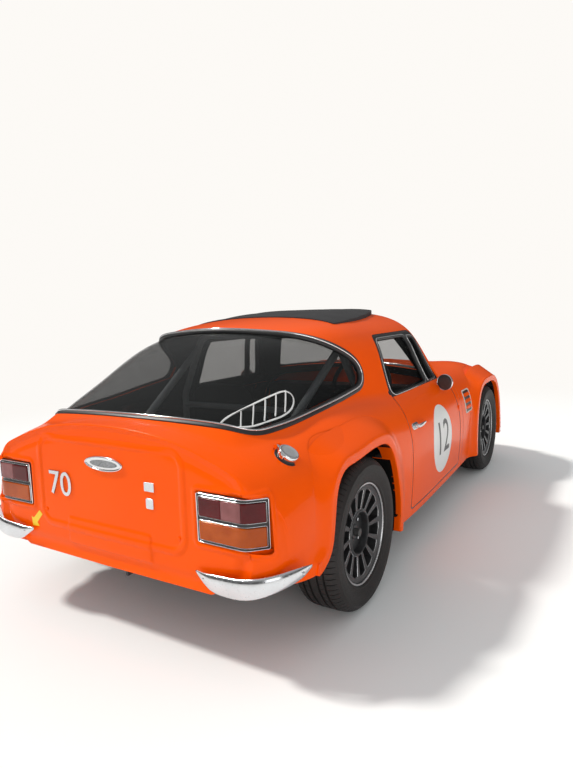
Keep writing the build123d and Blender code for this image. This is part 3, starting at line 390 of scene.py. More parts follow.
def turnIn(verts, tris, depth, radius=2.0, rim=None):
    # folds every free edge, or the given ones, inward: a small rounded corner, then a wall of the given depth
    rim = rimEdges(tris) if rim is None else rim
    n = pointNormals(verts, tris)
    points, back = np.unique(rim, return_inverse=True)
    back = back.reshape(-1, 2)
    ahead = np.zeros((len(points), 3))
    d = unit(verts[rim[:, 1]] - verts[rim[:, 0]])
    np.add.at(ahead, back[:, 0], d)
    np.add.at(ahead, back[:, 1], d)
    nn = n[points]
    out = unit(np.cross(ahead, nn))
    rows = [(0.35, 0.12), (0.8, 0.5), (1.0, 1.0), (1.0, depth / radius)]
    ring, base = points, len(verts)
    allVerts, allFaces = [verts], [tris]
    for across, down in rows:
        allVerts.append(verts[points] + out * across * radius - nn * down * radius)
        fresh = base + np.arange(len(points))
        a, b = back[:, 0], back[:, 1]
        allFaces.append(np.stack([ring[b], ring[a], fresh[a]], axis=1))
        allFaces.append(np.stack([ring[b], fresh[a], fresh[b]], axis=1))
        ring = fresh
        base += len(points)
    return np.vstack(allVerts), np.concatenate(allFaces)


def makeObject(name, verts, faces, material, smooth=True):
    mesh = bpy.data.meshes.new(name)
    faces = faces if isinstance(faces, list) else faces.tolist()
    mesh.from_pydata((np.asarray(verts) * mm).tolist(), [], faces)
    mesh.polygons.foreach_set("use_smooth", [smooth] * len(mesh.polygons))
    mesh.materials.append(material)
    mesh.update()
    return addObject(name, mesh)


def fixNormals(obj, merge=0.0):
    # closed shapes face outward again, after points within a distance are merged
    bm = bmesh.new()
    bm.from_mesh(obj.data)
    if merge:
        bmesh.ops.remove_doubles(bm, verts=bm.verts, dist=merge)
    bmesh.ops.recalc_face_normals(bm, faces=bm.faces)
    bm.to_mesh(obj.data)
    bm.free()


def solid(name, verts, faces, material, rider, smooth=True, merge=0.0):
    # a closed piece that rides a body
    obj = makeObject(name, verts, faces, material, smooth)
    fixNormals(obj, merge)
    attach(obj, rider)
    return obj


def rounded(points, radius, closed=True, steps=7):
    # polyline with each corner replaced by an arc-like curve that starts a radius from the corner
    pts = np.asarray(points, float)
    before, after = np.roll(pts, 1, axis=0), np.roll(pts, -1, axis=0)
    radius = np.broadcast_to(np.asarray(radius, float), len(pts))
    la, lb = np.linalg.norm(before - pts, axis=1), np.linalg.norm(after - pts, axis=1)
    ra, rb = np.minimum(radius, la * 0.48), np.minimum(radius, lb * 0.48)
    a = pts + (before - pts) / la[:, None] * ra[:, None]
    b = pts + (after - pts) / lb[:, None] * rb[:, None]
    t = np.linspace(0, 1, steps)[None, :, None]
    arcs = (1 - t) ** 2 * a[:, None] + 2 * t * (1 - t) * pts[:, None] + t ** 2 * b[:, None]
    if not closed:
        arcs[0], arcs[-1] = pts[0], pts[-1]
    return arcs.reshape(-1, 2)


def outlineField(outline, x, z):
    # signed distance to a closed outline, positive inside
    a, b = outline, np.roll(outline, -1, axis=0)
    best = np.full(x.shape, 1e18)
    inside = np.zeros(x.shape, bool)
    for (ax, az), (bx, bz) in zip(a, b):
        dx, dz = bx - ax, bz - az
        size = dx * dx + dz * dz
        if size < 1e-9:
            continue
        t = np.clip(((x - ax) * dx + (z - az) * dz) / size, 0, 1)
        best = np.minimum(best, (x - ax - t * dx) ** 2 + (z - az - t * dz) ** 2)
        cross = ((az > z) != (bz > z)) & (x < ax + (z - az) * dx / (dz if dz else 1))
        inside ^= cross
    return np.where(inside, 1, -1) * np.sqrt(best)


def boxDistance(a, b, centre, size, radius):
    # signed distance to a rounded rectangle, negative inside
    qa, qb = np.abs(a - centre[0]) - size[0] + radius, np.abs(b - centre[1]) - size[1] + radius
    return np.hypot(np.maximum(qa, 0), np.maximum(qb, 0)) + np.minimum(np.maximum(qa, qb), 0) - radius


# paint and general finishes

def newMaterial(name):
    mat = bpy.data.materials.new(name)
    mat.use_nodes = True
    return mat, mat.node_tree.nodes, mat.node_tree.links, mat.node_tree.nodes["Principled BSDF"]


def mottleGroup():
    # slow colour drift and fine speckle on Object coordinates: out come a 0..1 drift, a speckle and a height
    group = bpy.data.node_groups.new("mottle", "ShaderNodeTree")
    face = group.interface
    for name, value in (("Scale", 3.0), ("Fine Scale", 160.0)):
        socket = face.new_socket(name, in_out="INPUT", socket_type="NodeSocketFloat")
        socket.default_value = value
    for name in ("Drift", "Speckle", "Height"):
        face.new_socket(name, in_out="OUTPUT", socket_type="NodeSocketFloat")
    nodes = group.nodes
    entry, leave = nodes.new("NodeGroupInput"), nodes.new("NodeGroupOutput")
    where = addNode(nodes, "TexCoord").outputs["Object"]
    slow = addNode(nodes, "TexNoise", [("Detail", 2)])
    fine = addNode(nodes, "TexNoise", [("Detail", 4), ("Roughness", 0.65)])
    height = addNode(nodes, "Math", [(1, 0.3)], operation="MULTIPLY_ADD")
    wire(group.links, (where, slow.inputs["Vector"]), (where, fine.inputs["Vector"]),
         (entry.outputs["Scale"], slow.inputs["Scale"]), (entry.outputs["Fine Scale"], fine.inputs["Scale"]),
         (slow.outputs["Fac"], leave.inputs["Drift"]), (fine.outputs["Fac"], leave.inputs["Speckle"]),
         (slow.outputs["Fac"], height.inputs[0]), (fine.outputs["Fac"], height.inputs[2]),
         (height.outputs[0], leave.inputs["Height"]))
    return group


mottle = mottleGroup()


def finish(name, dark, light, rough=(0.4, 0.5), bump=0.0, distance=0.0005, scale=3.0, fine=160.0, **sockets):
    # a finish: colour drifts between two tones, roughness between two values, with an optional fine bump
    mat, nodes, links, bsdf = newMaterial(name)
    group = addNode(nodes, "Group", (("Scale", scale), ("Fine Scale", fine)), node_tree=mottle)
    ramp = addNode(nodes, "Mix", ((6, (*dark, 1)), (7, (*light, 1))), data_type="RGBA")
    wear = addNode(nodes, "MapRange", (("From Min", 0.35), ("From Max", 0.65), ("To Min", rough[0]),
                                       ("To Max", rough[1])))
    wire(links, (group.outputs["Drift"], ramp.inputs[0]), (ramp.outputs[2], bsdf.inputs["Base Color"]),
         (group.outputs["Speckle"], wear.inputs["Value"]), (wear.outputs["Result"], bsdf.inputs["Roughness"]))
    if bump:
        relief = addNode(nodes, "Bump", (("Strength", bump), ("Distance", distance)))
        wire(links, (group.outputs["Height"], relief.inputs["Height"]),
             (relief.outputs["Normal"], bsdf.inputs["Normal"]))
    for socket, value in sockets.items():
        bsdf.inputs[socket.replace("_", " ")].default_value = value
    return mat


orangePaint = finish("orangePaint", (0.92, 0.083, 0.0003), (0.98, 0.108, 0.0005), (0.24, 0.27), 0, 0, 2.0,
                     20.0, Coat_Weight=0.16, Coat_Roughness=0.03, Specular_IOR_Level=0.05)
innerBlack = finish("innerBlack", (0.012, 0.011, 0.011), (0.03, 0.028, 0.027), (0.6, 0.85), 0.3, 0.0006, 6.0,
                    300.0)
underBlack = finish("underBlack", (0.01, 0.009, 0.009), (0.026, 0.023, 0.021), (0.7, 0.9), 0.4, 0.001, 7.0,
                    120.0)
frameSteel = finish("frameSteel", (0.022, 0.022, 0.024), (0.05, 0.048, 0.048), (0.4, 0.6), 0.2, 0.0005, 8.0,
                    200.0)
armSteel = finish("armSteel", (0.06, 0.06, 0.062), (0.13, 0.125, 0.12), (0.45, 0.65), 0.2, 0.0005, 9.0, 220.0,
                  Metallic=0.6)
castMetal = finish("castMetal", (0.2, 0.2, 0.205), (0.34, 0.34, 0.35), (0.45, 0.65), 0.4, 0.0008, 9.0, 200.0,
                   Metallic=0.8)
chrome = finish("chrome", (0.72, 0.73, 0.75), (0.86, 0.87, 0.88), (0.06, 0.14), 0.02, 0.0003, 12.0, 90.0,
                Metallic=1.0)
dullChrome = finish("dullChrome", (0.6, 0.61, 0.63), (0.8, 0.81, 0.83), (0.14, 0.28), 0.05, 0.0004, 14.0,
                    120.0, Metallic=1.0)
sealRubber = finish("sealRubber", (0.012, 0.012, 0.013), (0.028, 0.028, 0.029), (0.35, 0.5), 0.1, 0.0004, 9.0,
                    240.0)
tyreRubber = finish("tyreRubber", (0.011, 0.0085, 0.008), (0.02, 0.016, 0.015), (0.55, 0.75), 0.25, 0.0005,
                    11.0, 260.0)
gunmetal = finish("gunmetal", (0.06, 0.06, 0.063), (0.12, 0.12, 0.123), (0.3, 0.45), 0.1, 0.0004, 10.0, 200.0,
                  Metallic=0.85)
brightLip = finish("brightLip", (0.4, 0.4, 0.41), (0.62, 0.62, 0.63), (0.2, 0.32), 0.05, 0.0003, 20.0, 200.0,
                   Metallic=1.0)
cageGrey = finish("cageGrey", (0.46, 0.5, 0.51), (0.56, 0.6, 0.61), (0.4, 0.55), 0.1, 0.0004, 8.0, 200.0)
vinyl = finish("vinyl", (0.016, 0.016, 0.017), (0.034, 0.033, 0.033), (0.5, 0.65), 0.5, 0.0007, 10.0, 420.0)
roofCloth = finish("roofCloth", (0.02, 0.02, 0.022), (0.042, 0.042, 0.045), (0.75, 0.9), 0.6, 0.0008, 9.0,
                   700.0)
paleTrim = finish("paleTrim", (0.62, 0.58, 0.52), (0.72, 0.68, 0.62), (0.3, 0.4), 0.05, 0.0002, 9.0, 200.0)


def glassFinish(name, tint, alpha):
    # clear tinted pane: dust drifts its colour and its roughness a little from place to place
    dusty = tuple(c * 1.25 + 0.002 for c in tint)
    return finish(name, tint, dusty, (0.015, 0.035), 0, 0, 6.0, 40.0, Alpha=alpha, Specular_IOR_Level=0.25,
                  Coat_Weight=0.1, Coat_Roughness=0.01)


windowGlass = glassFinish("windowGlass", (0.012, 0.013, 0.013), 0.22)
headGlass = glassFinish("headGlass", (0.5, 0.52, 0.53), 0.25)
rearGlass = glassFinish("rearGlass", (0.012, 0.013, 0.013), 0.46)


def paintWithShade(name, dark, shadeRegion):
    # the paint with a black region of painted shade: the region test of (x, y, z) builds a value above 0 where
    # it is black
    mat = orangePaint.copy()
    mat.name = name
    nodes, links = mat.node_tree.nodes, mat.node_tree.links
    colour = nodes["Principled BSDF"].inputs["Base Color"]
    where, parts, facing = (addNode(nodes, kind) for kind in ("TexCoord", "SeparateXYZ", "SeparateXYZ"))
    wire(links, (where.outputs["Object"], parts.inputs[0]), (where.outputs["Normal"], facing.inputs[0]))

    def do(kind, *values):
        node = addNode(nodes, "Math", operation=kind)
        for socket, value in zip(node.inputs, values):
            if isinstance(value, (int, float)):
                socket.default_value = value
            else:
                links.new(value, socket)
        return node.outputs[0]

    shadeMask = do("GREATER_THAN", shadeRegion(do, *(p.outputs[k] for p in (parts, facing) for k in "XYZ")), 0.0)
    mix = addNode(nodes, "Mix", [(7, (*dark, 1))], data_type="RGBA")
    wire(links, (colour.links[0].from_socket, mix.inputs[6]), (shadeMask, mix.inputs[0]), (mix.outputs[2], colour))
    return mat


def inwardFaceShade(do, x, y, z, nx, ny, nz):
    # the normal points towards the middle of the cabin; such inward faces get the black painted shade
    inward = do("ADD", do("MULTIPLY", y, ny), do("MULTIPLY", do("SUBTRACT", z, 0.6), nz))
    return do("MINIMUM", do("SUBTRACT", 0.0, do("ADD", inward, 0.02)), do("SUBTRACT", 0.46, x))


def wellsAndUnderShade(do, x, y, z, nx, ny, nz):
    # inside 0.39 m of either axle line and within 0.775 m of the middle plane, under the sills, or facing
    # inward: painted shade, black in the wheel wells, underneath and on inner faces
    across = do("SUBTRACT", do("ABSOLUTE", x), 1.143)
    up = do("SUBTRACT", z, 0.318)
    near = do("SUBTRACT", 0.39, do("SQRT", do("ADD", do("POWER", across, 2), do("POWER", up, 2))))
    near = do("MINIMUM", near, do("SUBTRACT", 0.775, do("ABSOLUTE", y)))
    return do("MAXIMUM", do("MAXIMUM", near, do("SUBTRACT", 0.2, z)), inwardFaceShade(do, x, y, z, nx, ny, nz))


def doorFrameAndShade(do, x, y, z, nx, ny, nz):
    # above the belt black like the window frame over it; inward faces black as painted shade
    return do("MAXIMUM", do("SUBTRACT", z, 0.794), inwardFaceShade(do, x, y, z, nx, ny, nz))


# their black colours are painted shade in the wheel wells, underneath and on inward faces; on the door shell
# also above the belt, under the black frame
shellPaint = paintWithShade("shellPaint", (0.008, 0.008, 0.008), wellsAndUnderShade)
doorShellPaint = paintWithShade("doorShellPaint", (0.014, 0.014, 0.014), doorFrameAndShade)

# what each structural node wears

nodeFinish = {
    "body_shell": shellPaint, "bonnet_shell": shellPaint, "door_left_shell": doorShellPaint,
    "door_right_shell": doorShellPaint, "floor_tub": innerBlack, "windscreen": windowGlass,
    "rear_window": rearGlass,
    "door_left_glass": windowGlass, "door_right_glass": windowGlass, "sunroof_panel": roofCloth,
    "chassis_frame": frameSteel, "tow_eye": frameSteel, "front_suspension": armSteel,
    "rear_suspension": armSteel,
    "engine_block": castMetal, "radiator": underBlack, "exhaust": castMetal, "seat_left": vinyl,
    "seat_right": vinyl, "dashboard": vinyl, "steering_column": innerBlack, "roll_cage": cageGrey,
    "tail_lamps": sealRubber, "rear_bumpers": dullChrome, "front_bumpers": dullChrome, "tail_plinth": chrome,
    "filler_cap": chrome, "headlamps": chrome, "front_grille": underBlack, "side_vents": sealRubber,
    "handle_left": chrome, "handle_right": chrome, "mirror_left": chrome, "mirror_right": chrome,
    "knuckle_left": armSteel, "knuckle_right": armSteel, "steering_wheel": innerBlack,
}
for corner in ("front_left", "front_right", "rear_left", "rear_right"):
    nodeFinish["rim_" + corner] = gunmetal
    nodeFinish["tyre_" + corner] = tyreRubber
for name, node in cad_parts.items():
    node.data.materials.clear()
    node.data.materials.append(nodeFinish.get(name, innerBlack))
print("structure finished")


# panels cut from the body's surface

panelUser = {
    "gap": 4.0, "doorGap": 6.0, "wall": 16, "doorWall": 5, "bonnetX": 476, "beltZ": 794,
    "shallowX": 401, "hingeX": (340, 390), "hingeGap": 2.6,
    "door": [(393, 229), (393, 738), (268, 796), (98, 1103), (-555, 1103), (-555, 229)],
    "doorRound": [14, 30, 40, 40, 26, 26],
    "doorLean": 0.3,
    "mainWindow": [(-500, 802), (-474, 1084), (-36, 1084), (66, 802)],
    "quarterWindow": [(96, 802), (244, 806), (92, 1072), (-8, 1080)],
    "rearWindow": [(-775, 885), (-1241, 834), (-1578, 812), (-1666, 868), (-1950, 930), (-1500, 1400),
                   (-1190, 1228), (-1085, 1172), (-925, 1100), (-772, 1010), (-738, 945)],
    "rearRound": [60, 200, 60, 60, 10, 10, 30, 60, 120, 60, 50],
    "screen": [(322, 838), (150, 1110), (186, 1188), (465, 1188), (465, 868), (445, 868)],
    "screenRound": [50, 40, 20, 5, 5, 20],
}

noseUser = {"lamp": (500, 548, 95), "mouth": (306, 330, 452), "round": 38, "lampX": 1648, "bars": 5}

xs = np.arange(bodyUser["tailX"] + 72, bodyUser["noseX"] - 6, bodyUser["stepAlong"], dtype=float)
half = np.linspace(-1, 1, bodyUser["stepsRound"])
skinGrid = outerSkin(bodyUser, xs, half)


def gridPiece(grid, low, high):
    # triangles of the grid rows between two stations
    part = grid[(grid[:, 0, 0] >= low) & (grid[:, 0, 0] <= high)]
    quads = gridFaces(part.shape[0], part.shape[1])
    return part.reshape(-1, 3), np.concatenate([quads[:, [0, 1, 2]], quads[:, [0, 2, 3]]])


def doorSpace(user, p):
    # side view in which the door's leaning rear edge stands upright
    lean = user["doorLean"] * (782 - np.abs(p[:, 1])) * np.clip(-p[:, 0] / 250, 0, 1)
    return p[:, 0] - lean, p[:, 2]


doorLine = rounded(panelUser["door"], panelUser["doorRound"])
rearLine = rounded(panelUser["rearWindow"], panelUser["rearRound"])
screenLine = rounded(panelUser["screen"], panelUser["screenRound"])
mainLine = rounded(panelUser["mainWindow"], 34)
quarterLine = rounded(panelUser["quarterWindow"], 8)


def cutOut(p, t, line, gap):
    return clipMesh(p, t, -outlineField(line, p[:, 0], p[:, 2]) - gap)


archUser = {
    "rearAxle": -1143, "frontAxle": 1143, "band": 42, "fade": 76, "out": 803,
    "rear": [(362, 199), (374, 290), (372, 359), (334, 500), (272, 610), (216, 650), (150, 664), (20, 663),
             (-130, 654), (-226, 641), (-268, 604), (-293, 540), (-318, 430), (-337, 384), (-380, 345),
             (-440, 326),
             (-510, 318), (-583, 314)],
    "front": [(392, 236), (384, 300), (370, 390), (344, 480), (292, 570), (204, 640), (80, 667), (-60, 668),
              (-190, 655), (-266, 610), (-325, 500), (-352, 380), (-358, 290), (-354, 199)],
}


def archPath(user, which, count=260):
    # smooth arch edge at an even step, with its normals away from the wheel
    pts = np.array(user[which], float)
    knots = runOf(pts)
    fine = cubic(knots, pts, np.linspace(0, knots[-1], 4000))
    along = runOf(fine)
    path = np.stack([np.interp(np.linspace(0, along[-1], count), along, fine[:, k]) for k in (0, 1)], axis=1)
    tangent = unit(np.gradient(path, axis=0))
    return path + (user[which + "Axle"], 0), np.stack([tangent[:, 1], -tangent[:, 0]], axis=1)


def grown(path, normal, by):
    # closed outline of an arch grown outward, its legs carried down to the ground
    p = path + normal * by
    return np.vstack([p, [p[-1, 0], 40], [p[0, 0], 40]])


archLine = {k: archPath(archUser, k) for k in ("rear", "front")}


def sideWidth(user, x, z):
    # half width of the lower body at a station and height, by halving the search along the section
    places, whole, knots = wholeRows(user["lower"])
    byPlace = cubic(places, np.eye(len(places)), x.ravel())
    rows = np.einsum("qi,ijc->qjc", byPlace, whole)
    lo, hi = np.zeros(x.size), np.full(x.size, knots[-1] / 2)
    for _ in range(26):
        mid = (lo + hi) / 2
        at = np.einsum("qj,qjc->qc", cubic(knots, np.eye(len(knots)), mid), rows)
        below = at[:, 1] < z.ravel()
        lo, hi = np.where(below, mid, lo), np.where(below, hi, mid)
    return (-at[:, 0]).reshape(x.shape)


def flareStrip(user, body, which):
    # band along the arch: turned lip, flat outer face, rounded crease, then a parabola fading into the side
    path, normal = archLine[which]
    band = user["band"]
    total = band + user["fade"]
    across = np.r_[0, 1.2, 3.5, 7, np.linspace(12, band - 8, 6), np.linspace(band - 5, band + 8, 9),
                   np.linspace(band + 12, total, 16)]
    p = path[:, None] + normal[:, None] * across[None, :, None]
    base = sideWidth(body, p[..., 0], p[..., 1]) + body["proud"]
    fall = np.clip((total - across) / user["fade"], 0, None)
    outer = user["out"] - 0.03 * (user["band"] - across)
    lip = np.interp(across, [0, 1.2, 3.5, 7], [4.0, 1.6, 0.4, 0])
    y = softMin(np.broadcast_to(outer, base.shape), base + (outer - base) * fall ** 2, 12) - lip
    if which == "rear":
        # the band dies away along the bottom edge behind the wheel
        keep = ease(np.clip((path[:, 0] - user["rearAxle"] + 560) / 190, 0, 1))[:, None]
        y = (base - lip) * (1 - keep) + y * keep
    y = np.where(across[None] >= total - 0.5, base, y)
    y = np.concatenate([y[:, :1] - 30, y[:, :1] - 12, y], axis=1)
    p = np.concatenate([p[:, :1], p[:, :1], p], axis=1)
    return np.stack([p[..., 0], -y, p[..., 1]], axis=-1)


def mirrorPiece(p, t):
    return p * (1, -1, 1), t[:, ::-1]


def buildPanels():
    pieces = {}
    p, t = gridPiece(skinGrid, -1800, panelUser["bonnetX"])
    p, t = clipMesh(p, t, panelUser["bonnetX"] - panelUser["gap"] - p[:, 0])
    x, z = doorSpace(panelUser, p)
    # the shut line is wider at the hinge side, where the opening door swings under it
    near, far = panelUser["hingeX"]
    gap = panelUser["doorGap"] + panelUser["hingeGap"] * np.clip((p[:, 0] - near) / (far - near), 0, 1)
    p, t = clipMesh(p, t, -outlineField(doorLine, x, z) - gap)
    p, t = cutOut(p, t, rearLine, 2)
    p, t = cutOut(p, t, screenLine, 2)
    p, t = cutOut(p, t, grown(*archLine["rear"], archUser["band"] + archUser["fade"] - 0.5), 0)
    pieces["bodySkin"] = ("body", p, t)
    p, t = gridPiece(skinGrid, -600, 440)
    x, z = doorSpace(panelUser, p)
    p, t = clipMesh(p, t, outlineField(doorLine, x, z) - panelUser["gap"])
    p, t = cutOut(p, t, mainLine, 0)
    p, t = cutOut(p, t, quarterLine, 0)
    p, t = clipMesh(p, t, -p[:, 1] - 300)
    pieces["doorSkin_right"] = ("door_right", p, t)
    pieces["doorSkin_left"] = ("door_left", *mirrorPiece(p, t))
    p, t = gridPiece(skinGrid, panelUser["bonnetX"] - 10, 1850)
    p, t = clipMesh(p, t, p[:, 0] - panelUser["bonnetX"] - panelUser["gap"])
    p, t = cutOut(p, t, grown(*archLine["front"], archUser["band"] + archUser["fade"] - 0.5), 0)
    y0, z0, r0 = noseUser["lamp"]
    ahead = p[:, 0] > 1500
    p, t = clipMesh(p, t, np.where(ahead, np.hypot(np.abs(p[:, 1]) - y0, p[:, 2] - z0) - r0, 99))
    (wide, low, high), ahead = noseUser["mouth"], p[:, 0] > 1600
    mouth = boxDistance(p[:, 1], p[:, 2], (0, (low + high) / 2), (wide, (high - low) / 2), noseUser["round"])
    p, t = clipMesh(p, t, np.where(ahead, mouth, 99))
    pieces["bonnetSkin"] = ("bonnet", p, t)
    return pieces


panels = buildPanels()
for name, (rider, p, t) in panels.items():
    if name.startswith("doorSkin"):
        for label, part, wear in (("doorFrame", 1, sealRubber), ("doorSkin", -1, orangePaint)):
            q, u = clipMesh(p, t, part * (p[:, 2] - panelUser["beltZ"]))
            q, u = turnIn(q, u, panelUser["doorWall"])
            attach(makeObject(name.replace("doorSkin", label), q, u, wear), rider)
        continue
    rim = rimEdges(t)
    mid = p[rim].mean(axis=1)
    aheadOfDoor = np.abs(mid[:, 0] - panelUser["shallowX"]) < 8
    shallow = aheadOfDoor & (mid[:, 2] < 790) & (rider == "body")
    p, t = turnIn(p, t, panelUser["wall"], rim=rim[~shallow])
    if shallow.any():
        # ahead of the door the edge is shallow, so that the opening door tucks under it
        p, t = turnIn(p, t, 1, 0.8, rim=rim[shallow])
    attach(makeObject(name, p, t, orangePaint), rider)
for which, rider in (("rear", "body"), ("front", "bonnet")):
    strip = flareStrip(archUser, bodyUser, which)
    faces = gridFaces(*strip.shape[:2])
    for side, name in ((1, "right"), (-1, "left")):
        piece = strip.reshape(-1, 3) * (1, side, 1)
        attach(makeObject("flare_" + which + "_" + name, piece, faces[:, ::side], orangePaint), rider)
print("panels made")


# tail: the skin rolls round its corners into a shallow, embossed panel

tailUser = {
    "front": -1723, "back": -1799, "lean": 9, "sideRoll": 66, "lipRoll": 7,
    "lipFrom": 66, "lipTo": 84, "low": 287, "step": 4.5,
    "beadHalf": 388, "beadZ": (414, 776), "beadRound": 62, "beadWide": 13, "beadHigh": 4.5,
    "plateHalf": 226, "plateZ": (346, 454), "plateHigh": 5.5,
    "hollow": 7, "lipZ": 842, "tall": 550,
}


def tailPlane(user, z):
    # place along the car of the plain leaning tail at a height
    return user["back"] - user["lean"] * (user["lipZ"] - z) / user["tall"]


def tailDepth(user, y, z, lip):
    # how far back the tail stands: leaning plane, embossed line, raised plate pad, hollow under the lip
    x = tailPlane(user, z)
    low, high = user["beadZ"]
    bead = boxDistance(y, z, (0, (low + high) / 2), (user["beadHalf"], (high - low) / 2), user["beadRound"])
    x = x - user["beadHigh"] * np.exp(-(bead / user["beadWide"]) ** 4)
    p0, p1 = user["plateZ"]
    plate = boxDistance(y, z, (0, (p0 + p1) / 2), (user["plateHalf"], (p1 - p0) / 2), 10)
    x = x - user["plateHigh"] * ease(np.clip(0.5 - plate / 6, 0, 1))
    return x + user["hollow"] * np.exp(-((lip - 34) / 24) ** 2)


def tailSurfaces(user, body, shares):
    # the skin's sections rolled inward round the tail's corner, then a flat patch with the relief
    back = np.arange(body["tailX"] - 14, user["front"] + 3, 3.0)
    rows = outerSkin(body, back, shares)
    y, z = rows[..., 1], rows[..., 2]
    phi = np.degrees(np.arctan2(np.abs(y[-1]), z[-1] - body["middleZ"]))
    blend = ease(np.clip((phi - user["lipFrom"]) / (user["lipTo"] - user["lipFrom"]), 0, 1))
    roll = user["lipRoll"] + (user["sideRoll"] - user["lipRoll"]) * blend

    def ringAt(x):
        k = np.clip((x - back[0]) / 3.0, 0, len(back) - 1.001)
        i = k.astype(int)
        w = (k - i)[:, None]
        j = np.arange(rows.shape[1])
        return rows[i, j, 1:] * (1 - w) + rows[i + 1, j, 1:] * w

    end = tailPlane(user, z[0])
    start = np.minimum(end + roll, user["front"] - 2)
    inward = -np.stack([np.sin(np.radians(phi)) * np.sign(y[-1]), np.cos(np.radians(phi))], axis=1)
    sheet = []
    for s in np.linspace(0, 1, 9):
        x = user["front"] + (start - user["front"]) * s
        sheet.append(np.column_stack([x, ringAt(x)]))
    for s in np.linspace(0, 1, 15)[1:]:
        a = s * math.pi / 2
        ring = ringAt(start + (end - start) * np.sin(a)) + inward * (roll * (1 - np.cos(a)))[:, None]
        depth = tailDepth(user, ring[:, 0], ring[:, 1], roll * 0)
        relief = depth - tailPlane(user, ring[:, 1]) - user["hollow"] * math.exp(-2)
        x = start + (end - start) * np.sin(a) + relief * s ** 2 * (roll > 30)
        sheet.append(np.column_stack([x, ring]))
    sheet = np.array(sheet)
    edge = sheet[-1][:, 1:]
    outline = np.vstack([edge, [[edge[-1, 0] - 40, user["low"] + 3], [0, user["low"]],
                                [edge[0, 0] + 40, user["low"] + 3]]])
    gy = np.arange(-760, 760.1, user["step"])
    gz = np.arange(user["low"] - 9, 860, user["step"])
    gy, gz = np.meshgrid(gy, gz, indexing="ij")
    away = outlineField(outline, gy, gz)
    patch = np.stack([tailDepth(user, gy, gz, away), gy, gz], axis=-1)
    edgeX = sheet[-1][:, 0]
    quads = gridFaces(*gy.shape)
    t = np.concatenate([quads[:, [0, 2, 1]], quads[:, [0, 3, 2]]])
    p, t = clipMesh(patch.reshape(-1, 3), t, away.ravel())
    # the patch meets the rolled ring exactly: its rim takes the ring's depth
    rim = np.unique(rimEdges(t))
    d = np.hypot(p[rim, 1][:, None] - edge[None, :, 0], p[rim, 2][:, None] - edge[None, :, 1])
    near = d.argmin(axis=1)
    close = d[np.arange(len(rim)), near] < 5
    p[rim[close], 0] = edgeX[near[close]]
    return sheet, p, t


# seals and bright trim carried along the openings' edges

def rimLoops(tris):
    # free edges joined end to end into closed loops of point numbers
    ahead = {int(a): int(b) for a, b in rimEdges(tris)}
    loops = []
    while ahead:
        start, b = next(iter(ahead.items()))
        loop = [start]
        del ahead[start]
        while b in ahead:
            loop.append(b)
            b = ahead.pop(b)
        loops.append(loop)
    return sorted(loops, key=len, reverse=True)


def evenLoop(points, normals, step, closed=True):
    # loop resampled at an even step, then smoothed with its neighbours
    if closed:
        points, normals = np.vstack([points, points[:1]]), np.vstack([normals, normals[:1]])
    run = runOf(points)
    n = int(run[-1] / step)
    at = np.linspace(0, run[-1], n, endpoint=not closed)
    p = np.stack([np.interp(at, run, points[:, k]) for k in range(3)], axis=1)
    m = np.stack([np.interp(at, run, normals[:, k]) for k in range(3)], axis=1)
    for _ in range(3):
        q, w = ((np.roll(v, 1, 0) + 2 * v + np.roll(v, -1, 0)) / 4 for v in (p, m))
        if not closed:
            q[[0, -1]], w[[0, -1]] = p[[0, -1]], m[[0, -1]]
        p, m = q, w
    return p, unit(m)


def carry(points, normals, profile, closed=True, outward=None):
    # profile (across, up) carried along a path: across points away from the opening, up along the normal
    t = unit(np.roll(points, -1, 0) - np.roll(points, 1, 0) if closed else np.gradient(points, axis=0))
    side = unit(np.cross(t, normals))
    flip = np.sign((side * (points - points.mean(axis=0) if outward is None else outward)).sum())
    prof = np.asarray(profile, float)
    grid = points[:, None] + flip * side[:, None] * prof[None, :, :1] + normals[:, None] * prof[None, :, 1:]
    grid = np.vstack([grid, grid[:1]]) if closed else grid
    rows, cols = grid.shape[:2]
    quads = gridFaces(rows, cols, closed=True)
    verts = grid.reshape(-1, 3)
    if not closed:
        quads = quads.tolist() + [list(range(cols))[::-1], list(range((rows - 1) * cols, rows * cols))]
    else:
        wrap = (rows - 1) * cols
        quads = np.where(quads >= wrap, quads - wrap, quads)
        verts = verts[:wrap]
    return verts, quads


def carried(name, points, normals, profile, material, rider, closed=True, outward=None):
    return solid(name, *carry(points, normals, profile, closed, outward), material, rider)


def halfRound(a, b, low, high, steps=9):
    # closed profile: flat underneath, an arch over it
    t = np.linspace(0, math.pi, steps)
    mid, wide = (a + b) / 2, (b - a) / 2
    return np.column_stack([mid - wide * np.cos(t), low + (high - low) * np.sin(t) ** 0.8])


loopStep = 10  # along the glass openings, mm


def openingLoops(p, t, test):
    # even loops round every opening whose middle passes a test
    normals = pointNormals(p, t)
    found = []
    for loop in rimLoops(t):
        if len(loop) > 30 and test(p[loop].mean(axis=0), p[loop]):
            found.append(evenLoop(p[loop], normals[loop], loopStep))
    return found


_, bodyP, bodyT = panels["bodySkin"]
_, doorP, doorT = panels["doorSkin_right"]


def onLine(line):
    # test: most of a loop's points lie on the given side-view outline
    return lambda middle, pts: (np.abs(outlineField(line, pts[:, 0], pts[:, 2])) < 6).mean() > 0.8


